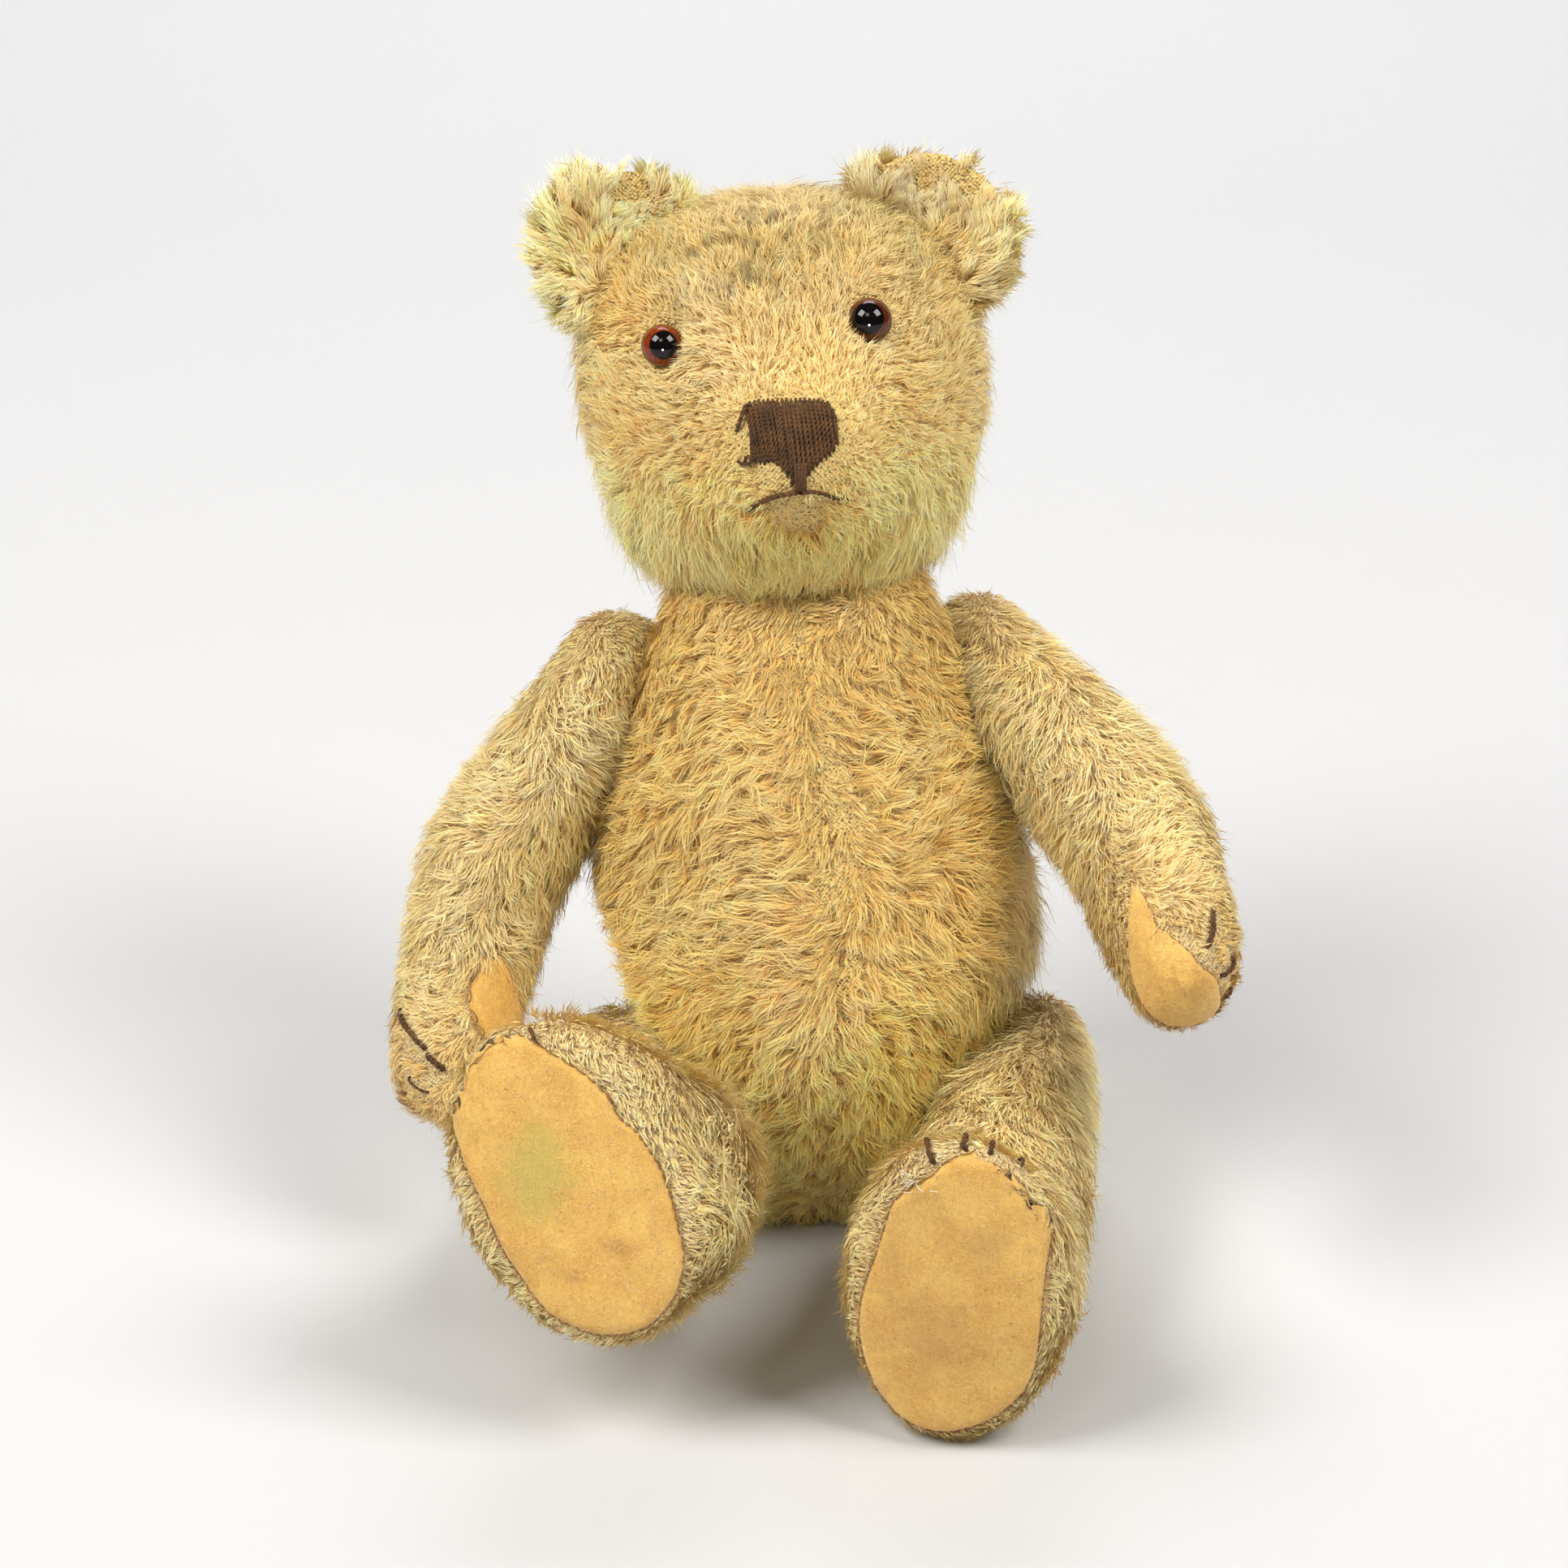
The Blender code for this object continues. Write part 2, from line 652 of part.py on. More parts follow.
def leg_rings(twist, calf, sole):
    """A leg's rings; twist turns the foot towards the other foot, and calf swells one side."""
    more = abs(calf)
    broad = (sole - SOLE_BREADTH["left"]) * 0.7
    return (
        Ring(-27.0, 0.0, 11.5, 10.0, 7.0),
        Ring(-23.0, 0.0, 12.0, 18.0, 13.0),
        Ring(-10.0, 0.0, 12.5, 25.5, 17.0),
        Ring(10.0, 0.0, 13.5, 26.0, 18.0),
        Ring(34.0, -1.0, 16.5 + calf * 0.5, 24.5, 18.5 + more * 0.5),
        Ring(56.0, -2.0, 17.0 + calf, 21.5, 19.5 + more, twist * 0.5),
        Ring(74.0, -1.0, 17.0 + calf, 22.5, 20.0 + more, twist * 0.8),
        Ring(88.0, 5.0, 16.5 + calf, 29.5, 22.0 + more, twist),
        Ring(98.0, 9.0, 16.5 + calf * 0.5, 36.5, 23.3 + more * 0.5 + broad, twist),
        Ring(105.0, 9.5, 16.5, 37.5, 23.3 + broad, twist),
        Ring(108.5, 9.5, 16.5, 36.0, 22.3 + broad, twist),
    )


def build_arm(side_name):
    """An arm with its felt paw pad and the claw stitches that are left."""
    joint = JOINTS["shoulder_" + side_name]
    mirrored = side_name == "left"
    flip = -1.0 if mirrored else 1.0
    item = cage_object("arm_" + side_name, ARM_RINGS, mirrored=mirrored)
    place(item, joint)
    round_off(item)
    open_for_joint(item, "shoulder", joint, DISC_RADIUS["shoulder"], 1)
    finish(item, MOHAIR)
    tree = evaluated_skin(item)

    shape = PALMS[side_name]
    roll = math.radians(shape.roll)
    palm = Vector((0.0, flip * math.sin(roll), -math.cos(roll)))
    thumb = Vector((0.0, flip * math.cos(roll), math.sin(roll)))
    wrist = Vector((shape.along, flip * 6.5, 16.0))

    def pad_lines(a, b):
        return wrist + Vector((a, 0.0, 0.0)) + thumb * b + palm * FAR, -palm

    patch("paw_pad_" + side_name, joint, tree, oval(shape.reach, 10.5, 2.3), pad_lines, FELT,
          FELT_CLOTH)
    for i, degrees in enumerate(PAW_CLAWS[side_name]):
        angle = math.radians(degrees)
        spread = Vector((math.cos(angle), 0.0, 0.0)) + thumb * math.sin(angle)
        begin = Vector((93.5, wrist.y, wrist.z)) + spread * FAR - palm * 5.5
        spots = between(begin, begin + palm * CLAW_LENGTH)
        stitch(f"paw_claw_{side_name}_{i + 1}", joint, tree, spots, -spread)


def build_leg(side_name):
    """A leg with its felt sole and the claw stitches that are left."""
    joint = JOINTS["hip_" + side_name]
    mirrored = side_name == "left"
    flip = -1.0 if mirrored else 1.0
    twist = LEG_TWIST[side_name]
    item = cage_object("leg_" + side_name, leg_rings(twist, CALF[side_name], SOLE_BREADTH[side_name]),
                       mirrored=mirrored)
    place(item, joint)
    round_off(item)
    open_for_joint(item, "hip", joint, DISC_RADIUS["hip"], 1,
                   THIGH_REACH[side_name])
    finish(item, MOHAIR)
    tree = evaluated_skin(item)
    turn = math.radians(twist)
    toes = Vector((0.0, flip * math.cos(turn), -math.sin(turn)))
    across = Vector((0.0, flip * math.sin(turn), math.cos(turn)))
    middle = Vector((160.0, flip * 9.5, 16.5))

    def sole_lines(a, b):
        return middle + toes * a + across * b, (-1.0, 0.0, 0.0)

    patch("foot_pad_" + side_name, joint, tree, oval(33.0, SOLE_BREADTH[side_name], 2.2),
          sole_lines, FELT, FELT_CLOTH)
    for i, shift in enumerate(FOOT_CLAWS[side_name]):
        begin = Vector((101.5, 0.0, 16.5)) + toes * FAR + across * shift
        end = begin + Vector((-CLAW_LENGTH, 0.0, 0.0))
        stitch(f"foot_claw_{side_name}_{i + 1}", joint, tree, between(begin, end), -toes)


# ---------------------------------------------------------------- assembly

def build_bear():
    """Build every part of the bear."""
    for name, joint in JOINTS.items():
        joint_hardware(name, joint, DISC_RADIUS[kind_of(name)])
    build_torso()
    head = build_head()
    build_face(head)
    for side_name in ("left", "right"):
        build_ear(head, side_name)
        build_arm(side_name)
        build_leg(side_name)


build_bear()
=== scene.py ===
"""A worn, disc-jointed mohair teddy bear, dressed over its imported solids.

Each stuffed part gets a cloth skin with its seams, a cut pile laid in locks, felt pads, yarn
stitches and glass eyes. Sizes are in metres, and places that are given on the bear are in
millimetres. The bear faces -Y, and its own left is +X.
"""
import itertools
import json
import logging
import math
from collections.abc import Callable, Sequence
from dataclasses import dataclass, field
from enum import Enum
from typing import Any

import bmesh
import bpy
import numpy as np
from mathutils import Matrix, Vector
from mathutils.bvhtree import BVHTree
from mathutils.kdtree import KDTree

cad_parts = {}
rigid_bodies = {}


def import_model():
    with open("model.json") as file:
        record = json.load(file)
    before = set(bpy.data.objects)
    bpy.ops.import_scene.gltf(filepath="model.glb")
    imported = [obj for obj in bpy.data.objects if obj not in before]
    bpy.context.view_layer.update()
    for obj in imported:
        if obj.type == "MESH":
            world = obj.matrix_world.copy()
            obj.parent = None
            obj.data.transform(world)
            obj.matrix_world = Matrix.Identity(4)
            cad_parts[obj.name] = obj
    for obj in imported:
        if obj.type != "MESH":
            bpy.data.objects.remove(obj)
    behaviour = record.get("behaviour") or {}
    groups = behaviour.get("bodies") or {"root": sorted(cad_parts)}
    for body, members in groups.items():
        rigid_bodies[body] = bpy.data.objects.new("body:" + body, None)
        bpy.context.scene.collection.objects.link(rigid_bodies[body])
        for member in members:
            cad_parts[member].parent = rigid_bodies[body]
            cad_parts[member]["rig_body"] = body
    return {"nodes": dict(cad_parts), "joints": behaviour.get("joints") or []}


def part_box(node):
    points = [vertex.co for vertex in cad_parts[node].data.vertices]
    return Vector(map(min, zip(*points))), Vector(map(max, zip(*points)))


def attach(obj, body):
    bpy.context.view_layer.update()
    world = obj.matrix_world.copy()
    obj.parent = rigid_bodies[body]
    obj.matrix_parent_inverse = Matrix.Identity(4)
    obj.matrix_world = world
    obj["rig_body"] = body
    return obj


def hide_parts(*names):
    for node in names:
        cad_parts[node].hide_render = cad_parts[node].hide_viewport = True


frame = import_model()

log = logging.getLogger("bear")
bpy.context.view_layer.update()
MM = 0.001
Array = np.ndarray
Triple = tuple[float, float, float]
Colour = Triple
Field = Callable[[Array], Array]
Material = bpy.types.Material
Piece = bpy.types.Object


# Numbers over points.

def unit(rows: Array) -> Array:
    """Each row scaled to length one."""
    size = np.linalg.norm(rows, axis=-1, keepdims=True)
    return rows / np.maximum(size, 1e-12)


def dot(first: Array, second: Array) -> Array:
    """The dot product of each row with its partner."""
    return (first * second).sum(-1)


def ease(low: float, high: float, x: Array) -> Array:
    """A smooth step from 0 at low to 1 at high."""
    t = np.clip((x - low) / (high - low), 0.0, 1.0)
    return t * t * (3.0 - 2.0 * t)


def cloudy(points: Array, pitch: float, seed: int) -> Array:
    """Smooth noise from about -1 to 1, with lumps about pitch apart.

    Args:
        points: rows of positions.
        pitch: the size of a lump.
        seed: a whole number that picks one pattern.

    Returns:
        One value for each point.
    """
    at = points / pitch + np.array([0.37, 0.61, 0.13]) * (seed * 7.0 + 1.0)
    cell = np.floor(at).astype(np.int64)
    part = at - cell
    part = part * part * (3.0 - 2.0 * part)
    total = np.zeros(len(points))
    for corner in itertools.product((0, 1), repeat=3):
        key = (cell + np.array(corner)) @ np.array([73856093, 19349663, 83492791]) + seed * 977
        key = ((key ^ (key >> 13)) * 1274126177) & 0x7FFFFFFF
        key = ((key ^ (key >> 15)) * 2246822519) & 0x7FFFFFFF
        value = ((key >> 7) & 0xFFFF) / 32767.5 - 1.0
        weight = np.prod(np.where(np.array(corner) == 1, part, 1.0 - part), axis=1)
        total += value * weight
    return total * 1.4


def linear(red: int, green: int, blue: int) -> Colour:
    """An 8-bit display colour as the linear colour that shaders use."""
    shares = (value / 255.0 for value in (red, green, blue))
    return tuple(share / 12.92 if share <= 0.04045 else ((share + 0.055) / 1.055) ** 2.4
                 for share in shares)


def near_spot(points: Array, spot: Array, radius: float) -> Array:
    """1 at a spot, falling smoothly to 0 at a radius."""
    away = np.linalg.norm(points - spot, axis=1)
    return 1.0 - ease(0.35 * radius, radius, away)


def near_line(points: Array, line: Array) -> Array:
    """How far each point is from the nearest of a line's own points."""
    return np.linalg.norm(points[:, None] - line[None], axis=2).min(1)


def triangle_areas(points: Array, triangles: Array) -> Array:
    """The area of each triangle."""
    spots = points[triangles]
    return 0.5 * np.linalg.norm(
        np.cross(spots[:, 1] - spots[:, 0], spots[:, 2] - spots[:, 0]), axis=1)


def mesh_rows(mesh: bpy.types.Mesh) -> tuple[Array, Array]:
    """A mesh's points, and the rows of points that are its triangles.

    Args:
        mesh: the mesh.

    Returns:
        Positions, and three rows for each triangle.
    """
    spots = np.empty(len(mesh.vertices) * 3)
    mesh.vertices.foreach_get("co", spots)
    mesh.calc_loop_triangles()
    corners = np.empty(len(mesh.loop_triangles) * 3, np.int64)
    mesh.loop_triangles.foreach_get("vertices", corners)
    return spots.reshape(-1, 3), corners.reshape(-1, 3)


def box_middle(node: str) -> Array:
    """The middle of a CAD node's box."""
    low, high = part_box(node)
    return (np.array(low) + np.array(high)) / 2.0


def body_of_node(node: str) -> str:
    """The CAD body that a node belongs to."""
    return frame["nodes"][node]["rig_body"]


def placed(name: str, data: bpy.types.ID) -> Piece:
    """A new object in the scene, with a mesh, a lamp or a camera."""
    piece = bpy.data.objects.new(name, data)
    bpy.context.scene.collection.objects.link(piece)
    return piece


def settle(piece: Piece, body: str, nodes: Sequence[str] = ()) -> None:
    """Fixes a finished piece to its body and reports it.

    Args:
        piece: the piece.
        body: the body that it rides on.
        nodes: the CAD nodes that it replaces.
    """
    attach(piece, body)
    if nodes:
        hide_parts(*nodes)
    log.info("%s rides on %s: %d faces", piece.name, body, len(piece.data.polygons))


def joint_named(name: str) -> tuple[Array, Array]:
    """A joint's position and unit axis.

    Args:
        name: its name.

    Returns:
        Its position and its unit axis.
    """
    for joint in frame["joints"]:
        if joint["name"] == name:
            return np.array(joint["pos_m"], float), unit(np.array(joint["axis"], float))
    raise KeyError(name)


# Shader writing.

class Wire:
    """A node's output socket, with which shader maths is written."""

    def __init__(self, board: "Board", socket: bpy.types.NodeSocket) -> None:
        """Wraps one output socket of a board."""
        self.board = board
        self.socket = socket

    def _maths(self, operation: str, first: Any, second: Any) -> "Wire":
        """One step of maths, through the node that suits what its terms are.

        Args:
            operation: ADD, SUBTRACT, MULTIPLY or DIVIDE.
            first: a wire, number or tuple.
            second: a wire, number or tuple.

        Returns:
            The result's wire.
        """
        kinds = {term.socket.type for term in (first, second) if isinstance(term, Wire)}
        if "RGBA" in kinds:
            return self.board.add("ShaderNodeMix",
                                  {"data_type": "RGBA", "blend_type": operation},
                                  {0: 1.0, 6: first, 7: second}, 2)
        if "VECTOR" in kinds:
            return self.board.add("ShaderNodeVectorMath", {"operation": operation},
                                  {0: first, 1: second})
        return self.board.add("ShaderNodeMath", {"operation": operation}, {0: first, 1: second})

    def __add__(self, other: Any) -> "Wire":
        """self + other."""
        return self._maths("ADD", self, other)

    def __radd__(self, other: Any) -> "Wire":
        """other + self."""
        return self._maths("ADD", other, self)

    def __sub__(self, other: Any) -> "Wire":
        """self - other."""
        return self._maths("SUBTRACT", self, other)

    def __rsub__(self, other: Any) -> "Wire":
        """other - self."""
        return self._maths("SUBTRACT", other, self)

    def __mul__(self, other: Any) -> "Wire":
        """self * other."""
        return self._maths("MULTIPLY", self, other)

    def __rmul__(self, other: Any) -> "Wire":
        """other * self."""
        return self._maths("MULTIPLY", other, self)

    def __truediv__(self, other: Any) -> "Wire":
        """self / other."""
        return self._maths("DIVIDE", self, other)

    def wave(self) -> "Wire":
        """The sine of a number."""
        return self.board.add("ShaderNodeMath", {"operation": "SINE"}, {0: self})

    def eased(self, low: float, high: float) -> "Wire":
        """A smooth step from 0 at low to 1 at high; low may be the larger."""
        return self.board.add("ShaderNodeMapRange", {"interpolation_type": "SMOOTHSTEP"},
                              {0: self, 1: low, 2: high, 3: 0.0, 4: 1.0})

    def blend(self, off: Any, on: Any) -> "Wire":
        """The colour off where this number is 0 and on where it is 1."""
        return self.board.add("ShaderNodeMix", {"data_type": "RGBA"},
                              {0: self, 6: off, 7: on}, 2)

    def measure(self) -> "Wire":
        """The length of a vector."""
        return self.board.add("ShaderNodeVectorMath", {"operation": "LENGTH"}, {0: self}, 1)

    def along(self, axis: Sequence[float]) -> "Wire":
        """The dot product of a vector with an axis."""
        return self.board.add("ShaderNodeVectorMath", {"operation": "DOT_PRODUCT"},
                              {0: self, 1: tuple(axis)}, 1)


class Board:
    """A material's node tree, and the one place where its nodes are made."""

    def __init__(self, name: str) -> None:
        """Starts an empty material of that name.

        Args:
            name: its name.
        """
        self.material = bpy.data.materials.new(name)
        self.material.use_nodes = True
        self.tree = self.material.node_tree
        self.tree.nodes.clear()

    def add(self, kind: str, settings: dict[str, Any] | None = None,
            sockets: dict[int | str, Any] | None = None, output: int | str = 0) -> Wire:
        """Makes a node.

        Args:
            kind: the node's type.
            settings: its own settings, which are set first.
            sockets: a value or a wire for each input.
            output: which of its outputs is wanted.

        Returns:
            The wire of that output.
        """
        node = self.tree.nodes.new(kind)
        for name, value in (settings or {}).items():
            setattr(node, name, value)
        for name, value in (sockets or {}).items():
            if isinstance(value, Wire):
                self.tree.links.new(value.socket, node.inputs[name])
            elif node.inputs[name].type == "RGBA":
                node.inputs[name].default_value = (*value, 1.0)
            elif node.inputs[name].type == "VECTOR" and not isinstance(value, tuple):
                node.inputs[name].default_value = (value, value, value)
            else:
                node.inputs[name].default_value = value
        return Wire(self, node.outputs[output])

    def place(self) -> Wire:
        """The point's own place in the row frame, in metres."""
        return self.add("ShaderNodeTexCoord", None, None, "Object")

    def tint(self) -> Wire:
        """The colour stored on the mesh."""
        return self.add("ShaderNodeAttribute", {"attribute_name": "tint"}, None, "Color")

    def mottle(self, pitch: float, detail: float = 2.0, rough: float = 0.55,
               twist: float = 0.0) -> Wire:
        """Noise from 0 to 1 whose lumps are about pitch metres across."""
        return self.add("ShaderNodeTexNoise", None,
                        {"Vector": self.place(), "Scale": 1.0 / pitch, "Detail": detail,
                         "Roughness": rough, "Distortion": twist})

    def cells(self, pitch: float) -> Wire:
        """Distance from scattered dots that are about pitch metres apart, in their pitch."""
        return self.add("ShaderNodeTexVoronoi", None,
                        {"Vector": self.place(), "Scale": 1.0 / pitch}, "Distance")

    def bump(self, height: Wire, depth: float, strength: float = 1.0) -> Wire:
        """A normal that a height pattern has pushed about."""
        return self.add("ShaderNodeBump", None,
                        {"Height": height, "Distance": depth, "Strength": strength})

    def surface(self, sockets: dict[str, Any]) -> Material:
        """Ends the tree in one surface shader with those sockets, and gives the material.

        Args:
            sockets: what goes into the shader's sockets.

        Returns:
            The finished material.
        """
        shader = self.add("ShaderNodeBsdfPrincipled", None, sockets)
        end = self.tree.nodes.new("ShaderNodeOutputMaterial")
        self.tree.links.new(shader.socket, end.inputs["Surface"])
        return self.material


@dataclass(frozen=True)
class MohairPile:
    """Lustrous mohair, coloured from root to tip by the tint on its strands."""

    streak: float = 1.6 * MM

    def make(self) -> Material:
        """The material."""
        board = Board("mohair_pile")
        streaks = board.mottle(self.streak, 2.0, 0.6)
        shade = streaks * 0.34 + 0.83
        return board.surface({"Base Color": board.tint() * shade, "Roughness": 0.42,
                              "Specular IOR Level": 0.42, "Sheen Weight": 0.14,
                              "Sheen Roughness": 0.4, "Sheen Tint": (1.0, 0.93, 0.78)})


@dataclass(frozen=True)
class WovenBacking:
    """The plain-woven cotton that the pile stands in, seen wherever the pile is gone."""

    pitch: float = 1.05 * MM
    name: str = "woven_backing"
    light: Colour = linear(255, 230, 150)
    dark: Colour = linear(252, 206, 122)
    hole: Colour = linear(168, 104, 44)

    def make(self) -> Material:
        """The material."""
        board = Board(self.name)
        place = board.place()
        wander = board.mottle(3.0 * MM, 2.0) * (0.6 * MM)
        turn = math.tau / self.pitch
        warp = ((place.along((0.97, 0.24, 0.0)) + wander) * turn).wave()
        weft = ((place.along((-0.1, 0.45, 0.89)) + wander) * turn).wave()
        weave = (warp * weft) * 0.5 + 0.5
        loose = board.mottle(0.7 * MM, 3.0, 0.75, 0.8)
        holes = board.cells(self.pitch).eased(0.34, 0.14)
        knots = 1.0 - board.cells(0.8 * self.pitch)
        height = weave * 0.5 + loose * 0.8 + knots * 0.9 - holes * 1.2
        colour = (weave * 0.3 + loose * 0.5 + knots * 0.5).eased(0.45, 0.85).blend(
            self.dark, self.light)
        worn = board.mottle(5.0 * MM, 2.0).eased(0.4, 0.6)
        colour = (holes * (worn * 0.5 + 0.4)).blend(colour, self.hole)
        return board.surface({"Base Color": colour, "Roughness": loose * 0.2 + 0.75,
                              "Normal": board.bump(height, 0.9 * MM, 1.0)})


@dataclass(frozen=True)
class Stain:
    """A stain on felt: where it is in millimetres, how far it spreads, and its colour."""

    spot: Triple
    reach: Triple
    colour: Colour
    strength: float


@dataclass(frozen=True)
class WoolFelt:
    """Pressed wool felt with fine fibres, specks and its own stains."""

    name: str
    stains: tuple[Stain, ...] = ()
    light: Colour = linear(250, 207, 113)
    dark: Colour = linear(208, 148, 59)
    speck: Colour = linear(146, 98, 50)

    def make(self) -> Material:
        """The material."""
        board = Board(self.name)
        place = board.place()
        fibre = board.mottle(0.7 * MM, 4.0, 0.8, 1.6)
        fine = board.mottle(0.22 * MM, 2.0, 0.6)
        broad = board.mottle(8.0 * MM, 3.0, 0.6)
        colour = (fibre * 0.85 + broad * 0.35).eased(0.38, 0.8).blend(self.dark, self.light)
        specks = board.mottle(1.3 * MM, 2.0, 0.6).eased(0.62, 0.76)
        colour = (specks * 0.45).blend(colour, self.speck)
        for stain in self.stains:
            away = (place - tuple(x * MM for x in stain.spot)) / tuple(
                x * MM for x in stain.reach)
            edge = away.measure() + board.mottle(5.0 * MM, 3.0, 0.65) * 0.9
            colour = (edge.eased(1.45, 0.65) * stain.strength).blend(colour, stain.colour)
        height = fibre * 0.8 + fine * 0.5
        return board.surface({"Base Color": colour, "Roughness": fibre * 0.15 + 0.8,
                              "Sheen Weight": 0.35, "Sheen Roughness": 0.45,
                              "Sheen Tint": (1.0, 0.9, 0.75),
                              "Normal": board.bump(height, 0.25 * MM, 0.8)})


@dataclass(frozen=True)
class Yarn:
    """Dull twisted embroidery yarn."""

    name: str
    light: Colour
    dark: Colour
    grain: float = 0.35 * MM

    def make(self) -> Material:
        """The material."""
        board = Board(self.name)
        fibres = board.mottle(self.grain, 3.0, 0.7, 0.6)
        worn = board.mottle(4.0 * MM, 2.0)
        colour = (fibres * 0.75 + worn * 0.4).eased(0.3, 0.85).blend(self.dark, self.light)
        return board.surface({"Base Color": colour, "Roughness": fibres * 0.25 + 0.5,
                              "Specular IOR Level": 0.3, "Sheen Weight": 0.05,
                              "Sheen Roughness": 0.4, "Sheen Tint": (1.0, 0.8, 0.55),
                              "Normal": board.bump(fibres, 0.2 * MM, 0.8)})


@dataclass(frozen=True)
class EyeGlass:
    """A glass eye painted behind: a black pupil in a brown ring under a clear coat."""

    name: str
    centre: Triple
    gaze: Triple
    pupil: float
    ring: Colour
    rim: Colour

    def make(self) -> Material:
        """The material."""
        board = Board(self.name)
        away = board.place() - self.centre
        cosine = away.along(self.gaze) / away.measure()
        streaks = board.mottle(0.9 * MM, 2.0, 0.6)
        ring = streaks.eased(0.25, 0.8).blend(tuple(0.45 * c for c in self.ring), self.ring)
        spread = math.cos(math.radians(self.pupil))
        colour = cosine.eased(spread - 0.035, spread + 0.02).blend(ring, (0.004, 0.003, 0.003))
        edge = math.cos(math.radians(min(self.pupil + 36.0, 88.0)))
        colour = cosine.eased(edge + 0.12, edge - 0.05).blend(colour, self.rim)
        return board.surface({"Base Color": colour, "Roughness": streaks * 0.04 + 0.06,
                              "Specular IOR Level": 0.0, "Coat Weight": 1.0,
                              "Coat Roughness": 0.03, "Coat IOR": 1.42})


@dataclass(frozen=True)
class Hardboard:
    """Pressed brown fibre board, for the joint discs."""

    light: Colour = linear(146, 104, 66)
    dark: Colour = linear(104, 70, 42)

    def make(self) -> Material:
        """The material."""
        board = Board("hardboard_discs")
        chips = board.mottle(0.8 * MM, 4.0, 0.7)
        patches = board.mottle(7.0 * MM, 2.0)
        colour = (chips * 0.7 + patches * 0.5).eased(0.35, 0.85).blend(self.dark, self.light)
        return board.surface({"Base Color": colour, "Roughness": chips * 0.25 + 0.6,
                              "Normal": board.bump(chips, 0.15 * MM, 0.7)})


@dataclass(frozen=True)
class DullSteel:
    """Old mild steel with a little rust, for washers, pins and eye wires."""

    clean: Colour = linear(168, 166, 162)
    rust: Colour = linear(120, 76, 46)

    def make(self) -> Material:
        """The material."""
        board = Board("dull_steel")
        grain = board.mottle(0.3 * MM, 3.0, 0.7)
        patches = board.mottle(1.8 * MM, 3.0, 0.65).eased(0.52, 0.7)
        return board.surface({"Base Color": (patches * 0.7).blend(self.clean, self.rust),
                              "Metallic": 1.0 - patches * 0.8,
                              "Roughness": patches * 0.35 + grain * 0.15 + 0.3,
                              "Normal": board.bump(grain, 0.05 * MM, 0.5)})


@dataclass(frozen=True)
class PaperSweep:
    """The pale seamless paper that the bear sits on."""

    tone: Colour = linear(206, 206, 208)

    def make(self) -> Material:
        """The material."""
        board = Board("paper_sweep")
        mottle = board.mottle(0.25, 2.0) * 0.02 + 0.99
        colour = board.add("ShaderNodeMix", {"data_type": "RGBA", "blend_type": "MULTIPLY"},
                           {0: 1.0, 6: self.tone, 7: mottle}, 2)
        return board.surface({"Base Color": colour, "Roughness": 0.85,
                              "Specular IOR Level": 0.2})


# Meshes.

def ring_quads(first: int, second: int, count: int) -> Array:
    """Four-cornered faces between two closed rings of points.

    Args:
        first: the row where one ring starts.
        second: the row where the other starts.
        count: how many points each has.

    Returns:
        Four corners for each face.
    """
    ring = np.arange(count)
    after = (ring + 1) % count
    return np.stack([first + ring, first + after, second + after, second + ring], 1)


def ring_fan(first: int, tip: int, count: int) -> Array:
    """Faces from a ring to one tip, with the tip as both their last corners.

    Args:
        first: the row where the ring starts.
        tip: the tip's row.
        count: how many points the ring has.

    Returns:
        Four corners for each face.
    """
    ring = np.arange(count)
    after = (ring + 1) % count
    tips = np.full(count, tip)
    return np.stack([first + after, first + ring, tips, tips], 1)


